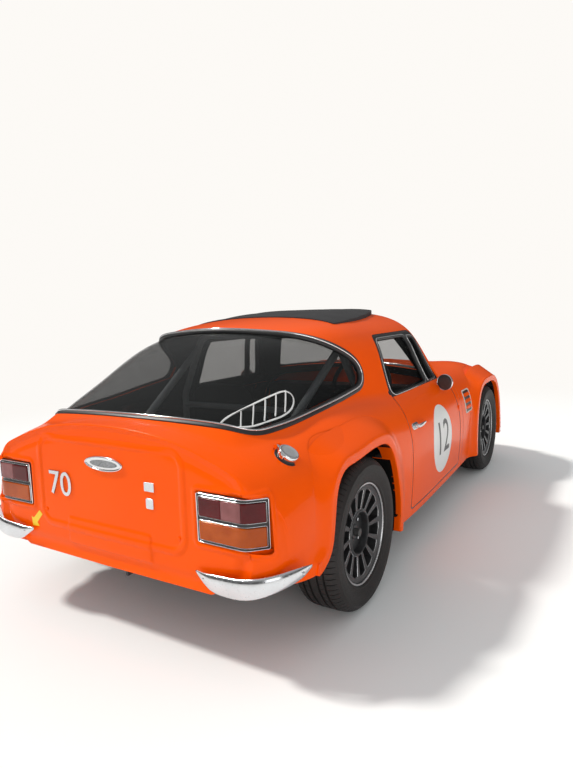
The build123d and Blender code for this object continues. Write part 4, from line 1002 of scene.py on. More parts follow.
rearEdge = openingLoops(bodyP, bodyT, onLine(rearLine))[0]
screenEdge = openingLoops(bodyP, bodyT, onLine(screenLine))[0]
glassSeal = [(17, -3), (17, 2.5), (14, 4.2), (4, 5), (0, 5), (-9, 3), (-14, -4), (-15, -15), (0, -15), (0, -4)]
for name, (pts, nrm) in (("rearSeal", rearEdge), ("screenSeal", screenEdge)):
    carried(name, pts, nrm, glassSeal, sealRubber, "body")
    carried(name.replace("Seal", "Bright"), pts, nrm, halfRound(-7, 1, 2, 9), chrome, "body")
print("glass seals made")
mainEdge = openingLoops(doorP, doorT, onLine(mainLine))[0]
quarterEdge = openingLoops(doorP, doorT, onLine(quarterLine))[0]
doorSeal = [(4, -1), (4, 2), (2, 3), (-3, 2), (-7, -3), (-8, -16), (0, -16), (0, -4)]
for label, edge, up in (("main", mainEdge, 6), ("quarter", quarterEdge, 4)):
    for side, rider in ((1, "right"), (-1, "left")):
        pts, nrm = (v * (1, side, 1) for v in edge)
        carried(label + "Seal_" + rider, pts, nrm, doorSeal, sealRubber, "door_" + rider)
        carried(label + "Bright_" + rider, pts, nrm, halfRound(2, 2 + up, 0, 3.5), chrome, "door_" + rider)
print("door seals made")


# tail lamps wrapped round the corners

lampUser = {
    "plan": [(-1807, -452), (-1810, -652), (-1750, -712)], "round": 26, "z": (474, 650), "deep": 26,
    "rows": ((485, 556), (568, 639)), "inset": 10, "redEnd": 108, "clearEnd": 188, "lensHigh": 8,
    "pocketGap": 5, "ridgeAway": 14, "ridgeWide": 8, "ridgeHigh": 5,
}


def planPath(points, radius):
    # plan curve with its run, for places a distance along it and out from it
    path = rounded(np.array(points, float), radius, closed=False, steps=13)
    path = path[np.r_[True, np.linalg.norm(np.diff(path, axis=0), axis=1) > 1e-6]]
    run = runOf(path)
    d = unit(np.gradient(path, run, axis=0))
    return path, run, np.stack([d[:, 1], -d[:, 0]], axis=1)


lampPath, lampRun, lampOut = planPath(lampUser["plan"], lampUser["round"])
lampLong = lampRun[-1]


def lampPlace(s, z, out):
    # a point standing out from the lamp's face, s along its plan curve
    s, z, out = np.broadcast_arrays(np.asarray(s, float), z, out)
    x, y, nx, ny = (np.interp(s, lampRun, v) for v in (*lampPath.T, *lampOut.T))
    return np.stack([x + nx * out, y + ny * out, z + 0 * x], axis=-1)


def lampField(p):
    # signed distance to the lamp's rounded outline, unrolled round the corner, negative inside
    q = np.column_stack([p[:, 0], -np.abs(p[:, 1])])
    ends = [lampPath[0] + (lampPath[0] - lampPath[1]) * 40, lampPath[-1] + (lampPath[-1] - lampPath[-2]) * 40]
    a = np.vstack([ends[0], lampPath, ends[1]])
    base = runOf(a)
    best, at = np.full(len(q), 1e18), np.zeros(len(q))
    for k in range(len(a) - 1):
        step = a[k + 1] - a[k]
        t = np.clip((q - a[k]) @ step / (step @ step), 0, 1)
        away = ((q - a[k] - t[:, None] * step) ** 2).sum(axis=1)
        near = away < best
        best[near], at[near] = away[near], (base[k] + t * np.linalg.norm(step))[near]
    s = at - base[1]
    z0, z1 = lampUser["z"]
    d = boxDistance(s, p[:, 2], (lampLong / 2, (z0 + z1) / 2), (lampLong / 2, (z1 - z0) / 2), 6)
    return np.where(best < 70 ** 2, d, 300)


def makeTail(user, body):
    # each piece gets the raised border round the lamp, then the lamp's pocket is cut and folded in
    sheet, p, t = tailSurfaces(user, body, half)
    quads = gridFaces(sheet.shape[0], sheet.shape[1])
    roll = np.concatenate([quads[:, [0, 2, 1]], quads[:, [0, 3, 2]]])
    for name, verts, tris in (("tailRoll", sheet.reshape(-1, 3), roll), ("tailPanel", p, t)):
        away = lampField(verts)
        rise = lampUser["ridgeHigh"] * np.exp(-((away - lampUser["ridgeAway"]) / lampUser["ridgeWide"]) ** 2)
        verts = verts + pointNormals(verts, tris) * rise[:, None]
        verts, tris = clipMesh(verts, tris, away - lampUser["pocketGap"])
        rim = rimEdges(tris)
        pocket = np.abs(lampField(verts[rim].mean(axis=1)) - lampUser["pocketGap"]) < 2
        verts, tris = turnIn(verts, tris, lampUser["deep"], 1.6, rim[pocket])
        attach(makeObject(name, verts, tris, orangePaint), "body")


makeTail(tailUser, bodyUser)
print("tail made")


def pad(place, u, v, low, high, edge=2.0, corner=4.0, fine=(26, 12)):
    # closed slab with a rounded rim: place(u, v, out) gives its points
    grids = []
    for (a, b), n in ((u, fine[0]), (v, fine[1])):
        rim = np.array([0, 0.12, 0.35, 0.7, 1.0]) * edge
        grids.append(np.r_[a + rim[:-1], np.linspace(a + edge, b - edge, n), b - rim[:-1][::-1]])
    gu, gv = np.meshgrid(*grids, indexing="ij")
    mid, size = ((u[0] + u[1]) / 2, (v[0] + v[1]) / 2), ((u[1] - u[0]) / 2, (v[1] - v[0]) / 2)
    corner = max(corner, edge)
    ku = np.sign(gu - mid[0]) * (size[0] - corner) + mid[0]
    kv = np.sign(gv - mid[1]) * (size[1] - corner) + mid[1]
    du, dv = gu - ku, gv - kv
    inCorner = (np.sign(gu - mid[0]) * du > 0) & (np.sign(gv - mid[1]) * dv > 0)
    square, length = np.maximum(np.abs(du), np.abs(dv)), np.maximum(np.hypot(du, dv), 1e-9)
    gu = np.where(inCorner, ku + du * square / length, gu)
    gv = np.where(inCorner, kv + dv * square / length, gv)
    d = boxDistance(gu, gv, mid, size, corner)
    k = np.clip(1 + d / edge, 0, 1)
    top = place(gu, gv, high - edge * (1 - np.sqrt(np.maximum(1 - k ** 2, 0))))
    n, m = gu.shape
    ring = np.r_[np.arange(m), np.arange(1, n) * m + m - 1, (n - 1) * m + np.arange(m - 2, -1, -1),
                 np.arange(n - 2, 0, -1) * m]
    foot = place(gu.ravel()[ring], gv.ravel()[ring], low)
    verts = np.vstack([top.reshape(-1, 3), foot])
    faces = gridFaces(n, m).tolist()
    base = n * m
    count = len(ring)
    faces += [[int(ring[i]), int(ring[(i + 1) % count]), base + (i + 1) % count,
               base + i] for i in range(count)]
    where = {int(r): base + i for i, r in enumerate(ring)}
    for i in range(n - 1):
        faces.append([where[i * m], where[(i + 1) * m], where[(i + 1) * m + m - 1], where[i * m + m - 1]])
    return verts, faces


def pairOf(name, verts, faces, material, riders=("body", "body")):
    # the piece and its mirror image on the other side
    return [solid(name + word, verts * (1, side, 1), faces, material, rider)
            for side, word, rider in zip((1, -1), ("_right", "_left"), riders)]


def faceLoop(place, u, v, radius, step, out):
    # rounded rectangle on a surface at an even step, with the surface's outward normals
    loop = rounded([(u[0], v[0]), (u[1], v[0]), (u[1], v[1]), (u[0], v[1])], radius)
    run = np.vstack([loop, loop[:1]])
    far = runOf(run)
    at = np.linspace(0, far[-1], int(far[-1] / step), endpoint=False)
    a, b = (np.interp(at, far, run[:, k]) for k in (0, 1))
    return place(a, b, out), place(a, b, out + 1.0) - place(a, b, out)


def lensFinish(name, dark, light):
    # coloured lens with moulded ribs: bands up the lens, as a bump
    mat = finish(name, dark, light, (0.12, 0.2), 0, 0, 14.0, 60.0, Coat_Weight=0.35, Coat_Roughness=0.02,
                 Specular_IOR_Level=0.15)
    nodes = mat.node_tree.nodes
    where, bands = addNode(nodes, "TexCoord"), addNode(nodes, "TexWave", [("Scale", 60)], bands_direction="Z")
    relief = addNode(nodes, "Bump", (("Strength", 0.25), ("Distance", 0.001)))
    wire(mat.node_tree.links, (where.outputs["Object"], bands.inputs["Vector"]),
         (bands.outputs["Fac"], relief.inputs["Height"]),
         (relief.outputs["Normal"], nodes["Principled BSDF"].inputs["Normal"]))
    return mat


redLens = lensFinish("redLens", (0.05, 0.0012, 0.002), (0.12, 0.003, 0.005))
clearLens = lensFinish("clearLens", (0.1, 0.02, 0.02), (0.34, 0.13, 0.13))
amberLens = lensFinish("amberLens", (0.24, 0.03, 0.001), (0.5, 0.09, 0.003))


def makeLamps(user):
    z0, z1 = user["z"]
    end = lampLong
    verts, faces = pad(lampPlace, (0, end), (z0, z1), -user["deep"], 0, edge=2.5, corner=7, fine=(40, 12))
    for obj in pairOf("lampBack", verts, faces, sealRubber):
        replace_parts(obj, "tail_lamps")
    loops = [("lampRim", (2.0, end - 2.0, z0 + 2.0, z1 - 2.0), 4)]
    for k, (a, b) in enumerate(user["rows"]):
        loops.append(("lampFrame%d" % k, (user["inset"], end - user["inset"], a, b), 3))
    for name, (a, b, c, d), wide in loops:
        pts, nrm = faceLoop(lampPlace, (a, b), (c, d), 5, 3, 0)
        pairOf(name, *carry(pts, nrm, halfRound(-wide / 2, wide / 2, -1.5, 3.2)), chrome)
    (a0, a1), (b0, b1) = user["rows"]
    first, last = user["inset"] + 3, end - user["inset"] - 3
    for name, (u0, u1), (v0, v1), wear in (
            ("lensRedInner", (first, user["redEnd"]), (b0 + 3, b1 - 3), redLens),
            ("lensClear", (user["redEnd"] + 0.6, user["clearEnd"]), (b0 + 3, b1 - 3), clearLens),
            ("lensRedOuter", (user["clearEnd"] + 0.6, last), (b0 + 3, b1 - 3), redLens),
            ("lensAmber", (first, last), (a0 + 3, a1 - 3), amberLens)):
        verts, faces = pad(lampPlace, (u0, u1), (v0, v1), -2, user["lensHigh"], edge=3, corner=4,
                           fine=(int((u1 - u0) / 4), 10))
        pairOf(name, verts, faces, wear)


makeLamps(lampUser)
print("tail lamps made")


# small fittings of the tail

fittingUser = {
    "plinthHalf": (103, 30), "plinthZ": 697, "panelHalf": (74, 14),
    "arrow": [(415, 452), (398, 436), (436, 396), (423, 381), (467, 377), (472, 417), (458, 412)],
    "numerals": "70", "numeralHigh": 98, "numeralMiddle": (262, 584),
    "badges": ((-231, 636, 24, 17), (-231, 574, 18, 20)),
    "fasteners": ((363, 467, 9), (-363, 467, 9)),
    "boltInner": (-1835, -490, 358), "boltOuter": (-1697, -804, 387),
}


def tailPlace(y, z, out):
    # a point standing out from the tail's panel
    y, z, out = np.broadcast_arrays(np.asarray(y, float), z, out)
    x = tailDepth(tailUser, y, z, np.full(y.shape, 200.0))
    return np.stack([x - out, y, z + 0 * x], axis=-1)


def ovalPlate(user):
    # oval dish: rings from the middle out, r the share of the way; a flat panel, a rounded rim, a short wall
    wide, tall = user["plinthHalf"]
    t = turnStops(96)
    rise = [(0.0, 3.6), (0.3, 3.6), (0.55, 3.6), (0.72, 3.6), (0.745, 3.9), (0.76, 6.5), (0.79, 8.2),
            (0.84, 9.0),
            (0.9, 8.6), (0.95, 6.9), (0.985, 4.2), (1.0, 0.8), (1.0, -3)]
    rings = []
    for r, h in rise[1:]:
        a, b = wide - tall * (1 - r), tall * r
        rings.append(tailPlace(a * np.cos(t), user["plinthZ"] + b * np.sin(t), h))
    middle = tailPlace(0, user["plinthZ"], rise[0][1])[None]
    verts = np.vstack([middle, *rings])
    faces = [[0, 1 + k, 1 + (k + 1) % 96] for k in range(96)]
    faces += (gridFaces(len(rings), 96, closed=True) + 1).tolist()
    faces.append([1 + (len(rings) - 1) * 96 + k for k in range(96)])
    return verts, faces


def flatShape(name, outline, out, thick, material, soften=1.5):
    # thin shape with softened corners standing on the tail
    line = rounded(outline, soften, steps=5)
    inner = line + unit(line.mean(axis=0) - line) * 0.35 * thick
    rings = [tailPlace(*ring.T, h) for ring, h in ((line, -2), (line, thick * 0.7 + out),
                                                   (inner, out + thick))]
    n = len(line)
    faces = gridFaces(3, n, closed=True).tolist()
    faces += [list(range(n))[::-1], list(range(2 * n, 3 * n))]
    return solid(name, np.vstack(rings), faces, material, "body", smooth=False)


def lathe(profile, centre, axis, steps=32):
    # closed turned shape: profile of (radius, along) pairs, with a flat cap on an end that is off the axis
    axis = unit(np.asarray(axis, float))
    side = unit(np.cross(axis, (0.31, 0.2, 0.93)))
    up = np.cross(axis, side)
    prof = np.asarray(profile, float)
    t = turnStops(steps)
    ring = side[None] * np.cos(t)[:, None] + up[None] * np.sin(t)[:, None]
    verts = np.asarray(centre, float) + prof[:, None, :1] * ring[None] + prof[:, None, 1:] * axis
    n = len(prof)
    faces = gridFaces(n, steps, closed=True).tolist()
    faces += [list(range(k * steps, (k + 1) * steps)) for k in (0, n - 1) if prof[k, 0] > 1e-6]
    return verts.reshape(-1, 3), faces


mergeGap = 1e-6  # points closer than this are one, m


def turned(name, profile, centre, axis, material, rider, steps=32, smooth=True):
    return solid(name, *lathe(profile, centre, axis, steps), material, rider, smooth, mergeGap)


def textMesh(name, text, size, extrude, bevel=0.0):
    # a line of plain numerals as a mesh, flat about its middle; size is the height of a numeral
    curve = bpy.data.curves.new(name, "FONT")
    curve.body, curve.align_x, curve.align_y, curve.size = text, "CENTER", "CENTER", size * 1.42
    curve.extrude, curve.bevel_depth, curve.bevel_resolution = extrude, bevel, 2
    shape = addObject(name, curve)
    bpy.context.view_layer.update()
    mesh = bpy.data.meshes.new_from_object(shape.evaluated_get(bpy.context.evaluated_depsgraph_get()))
    bpy.data.objects.remove(shape)
    mesh.materials.clear()
    return mesh


yellowFilm = finish("yellowFilm", (0.85, 0.55, 0.01), (0.95, 0.65, 0.02), (0.3, 0.4), 0.05, 0.0002, 9.0, 200.0)
greyPanel = finish("greyPanel", (0.2, 0.21, 0.22), (0.34, 0.35, 0.36), (0.25, 0.35), 0.05, 0.0003, 20.0, 200.0,
                   Metallic=0.7)


def boltHead(name, at, axis, radius, high, rider, material):
    profile = [(0, high), (radius * 0.5, high * 0.98), (radius * 0.78, high * 0.82),
               (radius * 0.94, high * 0.5),
               (radius, 0.1 * high), (radius, -4), (0, -4)]
    return turned(name, profile, at, axis, material, rider, 24)


def makeFittings(user):
    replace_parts(solid("tailOval", *ovalPlate(user), chrome, "body"), "tail_plinth")
    (wide, tall), t = user["panelHalf"], turnStops(40)
    panel = np.column_stack([wide * np.cos(t), user["plinthZ"] + tall * np.sin(t)])
    flatShape("ovalPanel", panel, 3.4, 1.4, greyPanel, soften=0.5)
    flatShape("towArrow", user["arrow"], 0.4, 0.8, yellowFilm)
    for k, (y, z, a, b) in enumerate(user["badges"]):
        shape = [(y - a, z - b), (y + a, z - b), (y + a, z + b), (y - a, z + b)]
        flatShape("plainBadge%d" % k, shape, 0.5, 3.5, dullChrome, soften=6 if k else 3)
    for k, (y, z, r) in enumerate(user["fasteners"]):
        boltHead("fastener%d" % k, tailPlace(y, z, 0), (-1, 0, 0), r, 5, "body", orangePaint)
    mesh = textMesh("tailNumerals", user["numerals"], user["numeralHigh"] * mm, 0.0022, 0.0011)
    spot = tailPlace(*user["numeralMiddle"], 3.0) * mm
    mesh.transform(Matrix(((0, 0, -1, spot[0]), (-1, 0, 0, spot[1]), (0, 1, 0, spot[2]), (0, 0, 0, 1))))
    mesh.materials.append(dullChrome)
    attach(addObject("tailNumerals", mesh), "body")
    for side, word in ((1, "right"), (-1, "left")):
        inner, outer = (np.array(user[k]) * (1, side, 1) for k in ("boltInner", "boltOuter"))
        boltHead("bumperBoltInner_" + word, inner, (-1, -side * 0.1, 0.1), 6, 4, "body", dullChrome)
        boltHead("bumperBoltOuter_" + word, outer, (0, -side, 0.1), 6, 4, "body", dullChrome)


makeFittings(fittingUser)
print("tail fittings made")


# filler cap over its rubber seal, with hinge barrel, arm and latch

fillerUser = {"foot": (-1560, -665, 732), "tilt": 34, "cap": 40, "base": 9.3, "high": 20, "hinge": (50, 15)}


def makeFiller(user):
    lean = math.radians(user["tilt"])
    up = np.array((0, -math.sin(lean), math.cos(lean)))
    across = np.array((0, math.cos(lean), math.sin(lean)))
    along = np.array((1, 0, 0))
    foot = np.array(user["foot"], float)
    low, r, high = user["base"], user["cap"], user["high"]
    turned("fillerSeal", [(0, 8.6), (36.5, 8.6), (37.5, 8), (37.5, 4), (39, 3), (46, 2), (47, -1), (47, -9),
                          (0, -9)],
           foot, up, sealRubber, "body", 48)
    profile = [(0, high - 1.6), (r * 0.5, high - 1.6), (r * 0.76, high - 1.6), (r * 0.79, high - 1.2),
               (r * 0.82, high - 0.2), (r * 0.88, high), (r * 0.94, high - 0.8), (r * 0.98, high - 3),
               (r, high - 5.5), (r, 4), (r - 0.8, 1), (r - 2, 0), (0, 0)]
    cap = turned("fillerLid", profile, foot + up * low, up, chrome, "filler_lid", 64)
    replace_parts(cap, "filler_cap")
    hinge = foot + across * user["hinge"][0] + up * user["hinge"][1]
    turned("fillerBarrel", [(0, -11), (3.2, -11), (4, -10.2), (4, 10.2), (3.2, 11), (0, 11)], hinge, along,
           chrome, "filler_lid", 24)

    def bar(name, first, second, span, wide, bottom, top, edge, corner):
        def place(u, v, h):
            u, v, h = np.broadcast_arrays(np.asarray(u, float), v, h)
            return foot + u[..., None] * first + v[..., None] * second + h[..., None] * up
        verts, faces = pad(place, span, (-wide, wide), bottom, top, edge=edge, corner=corner, fine=(6, 6))
        solid(name, verts, faces, chrome, "filler_lid")

    bar("fillerArm", across, along, (r - 8, user["hinge"][0] + 2), 8, 10, 18, 2, 3)
    bar("fillerLatch", along, across, (-r - 7, 5 - r), 9, low + 2, low + high - 2, 2.5, 4)


makeFiller(fillerUser)
print("filler made")


# wheels and tyres: closed turned grids whose angular stops follow the vanes and the sipes

wheelUser = {
    "track": 695, "hub": 318, "axle": 1143, "count": 14, "outer": 84,
    "lip": [(214, -7), (213.5, -2), (211, -0.3), (207, -0.3), (204.5, -1.2), (203, -4)],
    "face": [(201, -8), (198.5, -7.4), (196.5, -8.6), (192, -10), (187, -12)],
    "window": (100, 181), "windowDepth": 36, "vane": 0.30, "slant": 7,
    "hubRing": [(95, -24), (92, -20.5), (89, -20), (86, -22), (84.5, -30), (83, -50)],
    "dish": [(60, -54), (31, -55), (29, -47), (26, -44.5), (12, -43.5)],
    "barrel": [(214, -12), (206, -15), (204.5, -20), (203, -70), (204, -156), (213, -160), (213.5, -166),
               (209, -168),
               (198, -166), (195, -150), (193, -90), (190, -70), (120, -74), (112, -78), (112, -96),
               (122, -98),
               (122, -107), (60, -107)],
    "nutCircle": 57,
}


def wheelFace(user):
    # height over (radius, angle): a sloping face with one walled window per sector, then ring, dish and barrel
    lo, hi = user["window"]
    c, v = 0.012, user["vane"] / 2
    stops = np.array([0, v - c, v, v + 0.012, 0.3, 0.5, 0.7, 1 - v - 0.012, 1 - v, 1 - v + c])
    drop = np.array([0, 0, 0.045, 1, 1, 1, 1, 1, 0.045, 0])
    sector = 2 * math.pi / user["count"]
    t = (np.arange(user["count"])[:, None] + stops[None]).ravel() * sector
    inWindow = np.tile(drop, user["count"])
    tilt = np.tile(1 - np.abs(2 * stops - 1), user["count"]) * user["slant"]
    rows = [(r, f, 0, 0) for r, f in user["lip"] + user["face"]]
    for r, share, lean in ((hi + 1.6, 0, 1), (hi, 0.045, 1), (hi - 1.0, 1, 1), (hi - 20, 1, 0.5), (141, 1, 0),
                           (lo + 20, 1, 0), (lo + 1, 1, 0), (lo, 0.045, 0), (lo - 1.6, 0, 0)):
        rows.append((r, -13 - (hi - r) * 0.13, share, lean))
    rows += [(r, f, 0, 0) for r, f in user["hubRing"] + user["dish"]]
    r = np.array([row[0] for row in rows])[:, None] + np.array([row[3] for row in rows])[:, None] * (tilt - 5)
    share = np.array([row[2] for row in rows])[:, None]
    cut = np.where(share > 0.5, inWindow[None], np.minimum(share, inWindow[None]))
    h = np.array([row[1] for row in rows])[:, None] - user["windowDepth"] * cut
    n = len(t)
    back = np.array(user["barrel"], float)
    front = np.stack([r * np.cos(t), np.broadcast_to(h, r.shape), r * np.sin(t)], axis=-1)[::-1]
    rear = np.stack([back[:, :1] * np.cos(t), np.repeat(back[:, 1:], n, axis=1), back[:, :1] * np.sin(t)],
                    axis=-1)
    grid = np.concatenate([front, rear])
    rowsN = len(grid)
    verts = np.vstack([grid.reshape(-1, 3), [[0, user["dish"][-1][1] + 0.4, 0],
                                             [0, user["barrel"][-1][1], 0]]])
    quads = gridFaces(rowsN, n, closed=True)
    faces = quads.tolist()
    faces += [[(k + 1) % n, k, rowsN * n] for k in range(n)]
    last = (rowsN - 1) * n
    faces += [[last + k, last + (k + 1) % n, rowsN * n + 1] for k in range(n)]
    # bright lip and cut edges, windows' floors near black as painted shade for the dark seen through them,
    # grey elsewhere
    mid = grid.reshape(-1, 3)[quads].mean(axis=1)
    radius, high = np.hypot(mid[:, 0], mid[:, 2]), mid[:, 1]
    level = -13 - (hi - radius) * 0.13
    inField = (radius > lo - 1.7) & (radius < hi + 4) & (quads[:, 0] < len(front) * n - n)
    wear = np.zeros(len(quads), int)
    wear[(radius > 202) & (high > -9)] = 1
    wear[inField & (high < level - 0.25) & (high > level - 3)] = 1
    wear[inField & (high < level - user["windowDepth"] * 0.8)] = 2
    wear[quads[:, 0] >= len(front) * n] = 3
    return verts, faces, np.r_[wear, np.zeros(n, int), np.full(n, 3)]


tyreUser = {
    "side": [(207, -78), (212, -86), (216, -89.5), (219, -91), (222, -89.8), (226, -90.5), (236, -94.5),
             (250, -99),
             (262, -101.3), (272, -101.8), (281, -100.5), (284, -101), (286.5, -100.4), (288, -98),
             (296, -93.5),
             (304, -86.5)],
    "shoulder": [(309.5, -80), (313, -74), (315.3, -67), (316.4, -60)],
    "tread": [(317, -53), (309, -51.6), (309, -44.4), (317.5, -43), (318, -32), (318, -24), (310, -22.6),
              (310, -15.4), (318, -14)],
    "pitches": 76, "sipe": [0, 0.36, 0.78, 0.83, 0.92, 0.97], "sipeDepth": 4.5,
}


def tyreGrid(user):
    outside = user["side"] + user["shoulder"] + user["tread"]
    prof = np.array(outside + [(r, -u) for r, u in reversed(outside)], float)
    stops = np.array(user["sipe"])
    t = (np.arange(user["pitches"])[:, None] + stops[None]).ravel() * 2 * math.pi / user["pitches"]
    sunk = np.tile(np.where((stops > 0.8) & (stops < 0.95), 1.0, 0), user["pitches"])
    across = np.abs(prof[:, 1])
    blocks = ((across > 55) & (across < 90) & (prof[:, 0] > 300))[:, None] * 1.0
    ribs = ((across > 23.5) & (across < 43.5) & (prof[:, 0] > 316))[:, None] * 0.35
    r = prof[:, :1] - user["sipeDepth"] * (blocks + ribs) * sunk[None]
    grid = np.stack([r * np.cos(t), np.repeat(prof[:, 1:], len(t), axis=1), r * np.sin(t)], axis=-1)
    rows, n = grid.shape[:2]
    quads = gridFaces(rows, n, closed=True)
    closing = np.stack([np.arange(n) + (rows - 1) * n, np.arange(n), (np.arange(n) + 1) % n,
                        (np.arange(n) + 1) % n + (rows - 1) * n], axis=1)
    return grid.reshape(-1, 3), np.vstack([quads, closing])


def placeWheel(verts, front, side):
    # from the wheel's own frame, outer face at 0 and -y outward, to its corner of the car
    x = wheelUser["axle"] * (1 if front else -1)
    y = side * (-verts[:, 1] - wheelUser["track"] - wheelUser["outer"])
    return np.column_stack([verts[:, 0] + x, y, verts[:, 2] + wheelUser["hub"]])


def makeWheels():
    face, faces, wear = wheelFace(wheelUser)
    rubber, quads = tyreGrid(tyreUser)
    nut = [(0, 9), (5, 9), (7.5, 8.2), (9, 6.5), (9.5, 4), (9.5, -2), (0, -2)]
    for end in ("front", "rear"):
        for side, word in ((1, "right"), (-1, "left")):
            corner = end + "_" + word
            rider = "wheel_" + corner
            verts = placeWheel(face, end == "front", side)
            obj = makeObject("rimFace_" + corner, verts, faces, gunmetal, smooth=False)
            for mat in (brightLip, deepBlack, barrelGrey):
                obj.data.materials.append(mat)
            obj.data.polygons.foreach_set("material_index", wear)
            fixNormals(obj)
            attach(obj, rider)
            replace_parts(obj, "rim_" + corner)
            verts = placeWheel(rubber - (0, wheelUser["outer"], 0), end == "front", side)
            obj = makeObject("tyreTread_" + corner, verts, quads, tyreRubber)
            fixNormals(obj)
            sharpEdges(obj, 38)
            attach(obj, rider)
            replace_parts(obj, "tyre_" + corner)
            for k in range(4):
                a = math.radians(45 + 90 * k)
                spot = np.array([[math.cos(a) * wheelUser["nutCircle"], -54,
                                  math.sin(a) * wheelUser["nutCircle"]]])
                spot = placeWheel(spot, end == "front", side)[0]
                turned("wheelNut%d_%s" % (k, corner), nut, spot, (0, -side, 0), chrome, rider, 6, smooth=False)


def sharpEdges(obj, angle):
    # smooth shading, with edges over the angle kept crisp
    bm = bmesh.new()
    bm.from_mesh(obj.data)
    limit = math.radians(angle)
    for edge in bm.edges:
        edge.smooth = len(edge.link_faces) == 2 and edge.calc_face_angle(0) < limit
    bm.to_mesh(obj.data)
    bm.free()


# near black for the wheel windows' floors: painted shade
deepBlack = finish("deepBlack", (0.004, 0.004, 0.004), (0.012, 0.0115, 0.011), (0.6, 0.8), 0.1, 0.0003, 9.0,
                   200.0)
barrelGrey = finish("barrelGrey", (0.05, 0.05, 0.052), (0.1, 0.1, 0.102), (0.4, 0.6), 0.1, 0.0004, 9.0, 180.0,
                    Metallic=0.7)
makeWheels()
print("wheels made")


# places on the skin

def sidePlace(x, z, out):
    # a point on the right side of the body at a place along and a height
    x, z, out = np.broadcast_arrays(np.asarray(x, float), z, out)
    return np.stack([x, -(sideWidth(bodyUser, x, z) + bodyUser["proud"] + out), z], axis=-1)


def alongGrid(grid, x, read):
    # what read gives on the two sections either side of each x, blended between them
    i = np.clip((x - grid[0, 0, 0]) / bodyUser["stepAlong"], 0, len(grid) - 1.001)
    k, w = i.astype(int), i - i.astype(int)
    value = np.empty(x.shape)
    for row in np.unique(k):
        here = k == row
        value[here] = read(grid[row], here) * (1 - w[here]) + read(grid[row + 1], here) * w[here]
    return value


def roofPlace(x, y, out):
    # a point on the roof: crest height from the skin's own sections
    x, y, out = np.broadcast_arrays(np.asarray(x, float), y, out)
    flat = skinGrid[(skinGrid[:, 0, 0] > -900) & (skinGrid[:, 0, 0] < 400)][:, 60:-60]

    def height(section, here):
        section = section[np.argsort(section[:, 1])]
        return np.interp(y[here], section[:, 1], section[:, 2])
    return np.stack([x, y, alongGrid(flat, x, height) + out], axis=-1)


roofUser = {"from": -702, "to": 130, "half": (442, 305), "stand": (4, 21), "lip": 26}


def roofCover(user):
    # share s runs back to front and w across; the cloth swells towards the front and sits flush at its rear
    # edge
    (wideBack, wideFront), (standBack, standFront) = user["half"], user["stand"]

    def place(s, w, out):
        x = user["from"] + (user["to"] - user["from"]) * s - 26 * w ** 2 * (s > 0.5) * (s - 0.5) * 2
        wide = wideBack + (wideFront - wideBack) * s ** 2.2
        rise = standBack + (standFront - standBack) * np.clip(s * 2.2, 0, 1) ** 0.8
        rise = rise + (user["lip"] - standFront) * np.clip((s - 0.93) / 0.07, 0, 1)
        fold = 1.6 * np.cos(s * 2 * math.pi * 4) * (s < 0.92)
        return roofPlace(x, w * wide, np.where(out > 0, (rise + fold) * out, out * 6))
    return place


verts, faces = pad(roofCover(roofUser), (0, 1), (-1, 1), -1, 1, edge=0.03, corner=0.03, fine=(64, 50))
cover = solid("roofCover", verts, faces, roofCloth, "body")
sharpEdges(cover, 50)
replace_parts(cover, "sunroof_panel")


# bare roundel with a plain number, on the doors

def lettering(name, text, size, place, centre, thick, material, rider):
    # plain numerals laid on a surface: flat shape first, then every point taken to the surface
    mesh = textMesh(name, text, size, 0.5)
    bm = bmesh.new()
    bm.from_mesh(mesh)
    bmesh.ops.remove_doubles(bm, verts=bm.verts, dist=1e-4)
    bmesh.ops.triangulate(bm, faces=bm.faces)
    for _ in range(4):
        bmesh.ops.subdivide_edges(bm, edges=[e for e in bm.edges if e.calc_length() > size / 9], cuts=1)
        bmesh.ops.triangulate(bm, faces=bm.faces)
    bm.to_mesh(mesh)
    bm.free()
    flat = np.empty(len(mesh.vertices) * 3)
    mesh.vertices.foreach_get("co", flat)
    x, z, out = flat.reshape(-1, 3).T
    at = place(centre[0] + x, centre[1] + z, np.where(out > 0, thick, -1.0)) * mm
    mesh.vertices.foreach_set("co", at.ravel())
    mesh.materials.append(material)
    obj = addObject(name, mesh)
    fixNormals(obj)
    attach(obj, rider)


signUser = {"centre": (-25, 484), "radius": 194, "number": "12", "high": 190}
whiteFilm = finish("whiteFilm", (0.74, 0.74, 0.73), (0.82, 0.82, 0.81), (0.3, 0.4), 0.05, 0.0002, 6.0, 200.0)
# black for the printed numbers, and painted shade in the shut lines and behind the vents' louvres
blackFilm = finish("blackFilm", (0.012, 0.012, 0.013), (0.022, 0.022, 0.023), (0.3, 0.4), 0.05, 0.0002, 6.0,
                   200.0)


def disc(place, centre, rings, steps=96):
    # rings of (radius, out) from the middle outward, closed underneath
    t = turnStops(steps)
    rows = [place(centre[0] + r * np.cos(t), centre[1] + r * np.sin(t), o) for r, o in rings[1:]]
    verts = np.vstack([place(centre[0], centre[1], rings[0][1])[None], *rows])
    faces = [[0, 1 + k, 1 + (k + 1) % steps] for k in range(steps)]
    faces += (gridFaces(len(rows), steps, closed=True) + 1).tolist()
    return verts, faces + [[1 + (len(rows) - 1) * steps + k for k in range(steps)]]


r = signUser["radius"]
rings = [(0, 0.9), *[(r * k / 12, 0.9) for k in range(1, 12)], (r - 0.8, 0.9), (r, 0.6), (r, -1)]
verts, faces = disc(sidePlace, signUser["centre"], rings)
pairOf("roundel", verts, faces, whiteFilm, ("door_right", "door_left"))


def signPlace(side):
    # the left door's own places, so that the number reads forwards on both doors
    if side > 0:
        return sidePlace
    return lambda x, z, out: sidePlace(2 * signUser["centre"][0] - x, z, out) * (1, -1, 1)


for side, word in ((1, "right"), (-1, "left")):
    lettering("roundelNumber_" + word, signUser["number"], signUser["high"], signPlace(side),
              signUser["centre"],
              1.5, blackFilm, "door_" + word)
print("roof cover and roundels made")


# door mirrors and handles

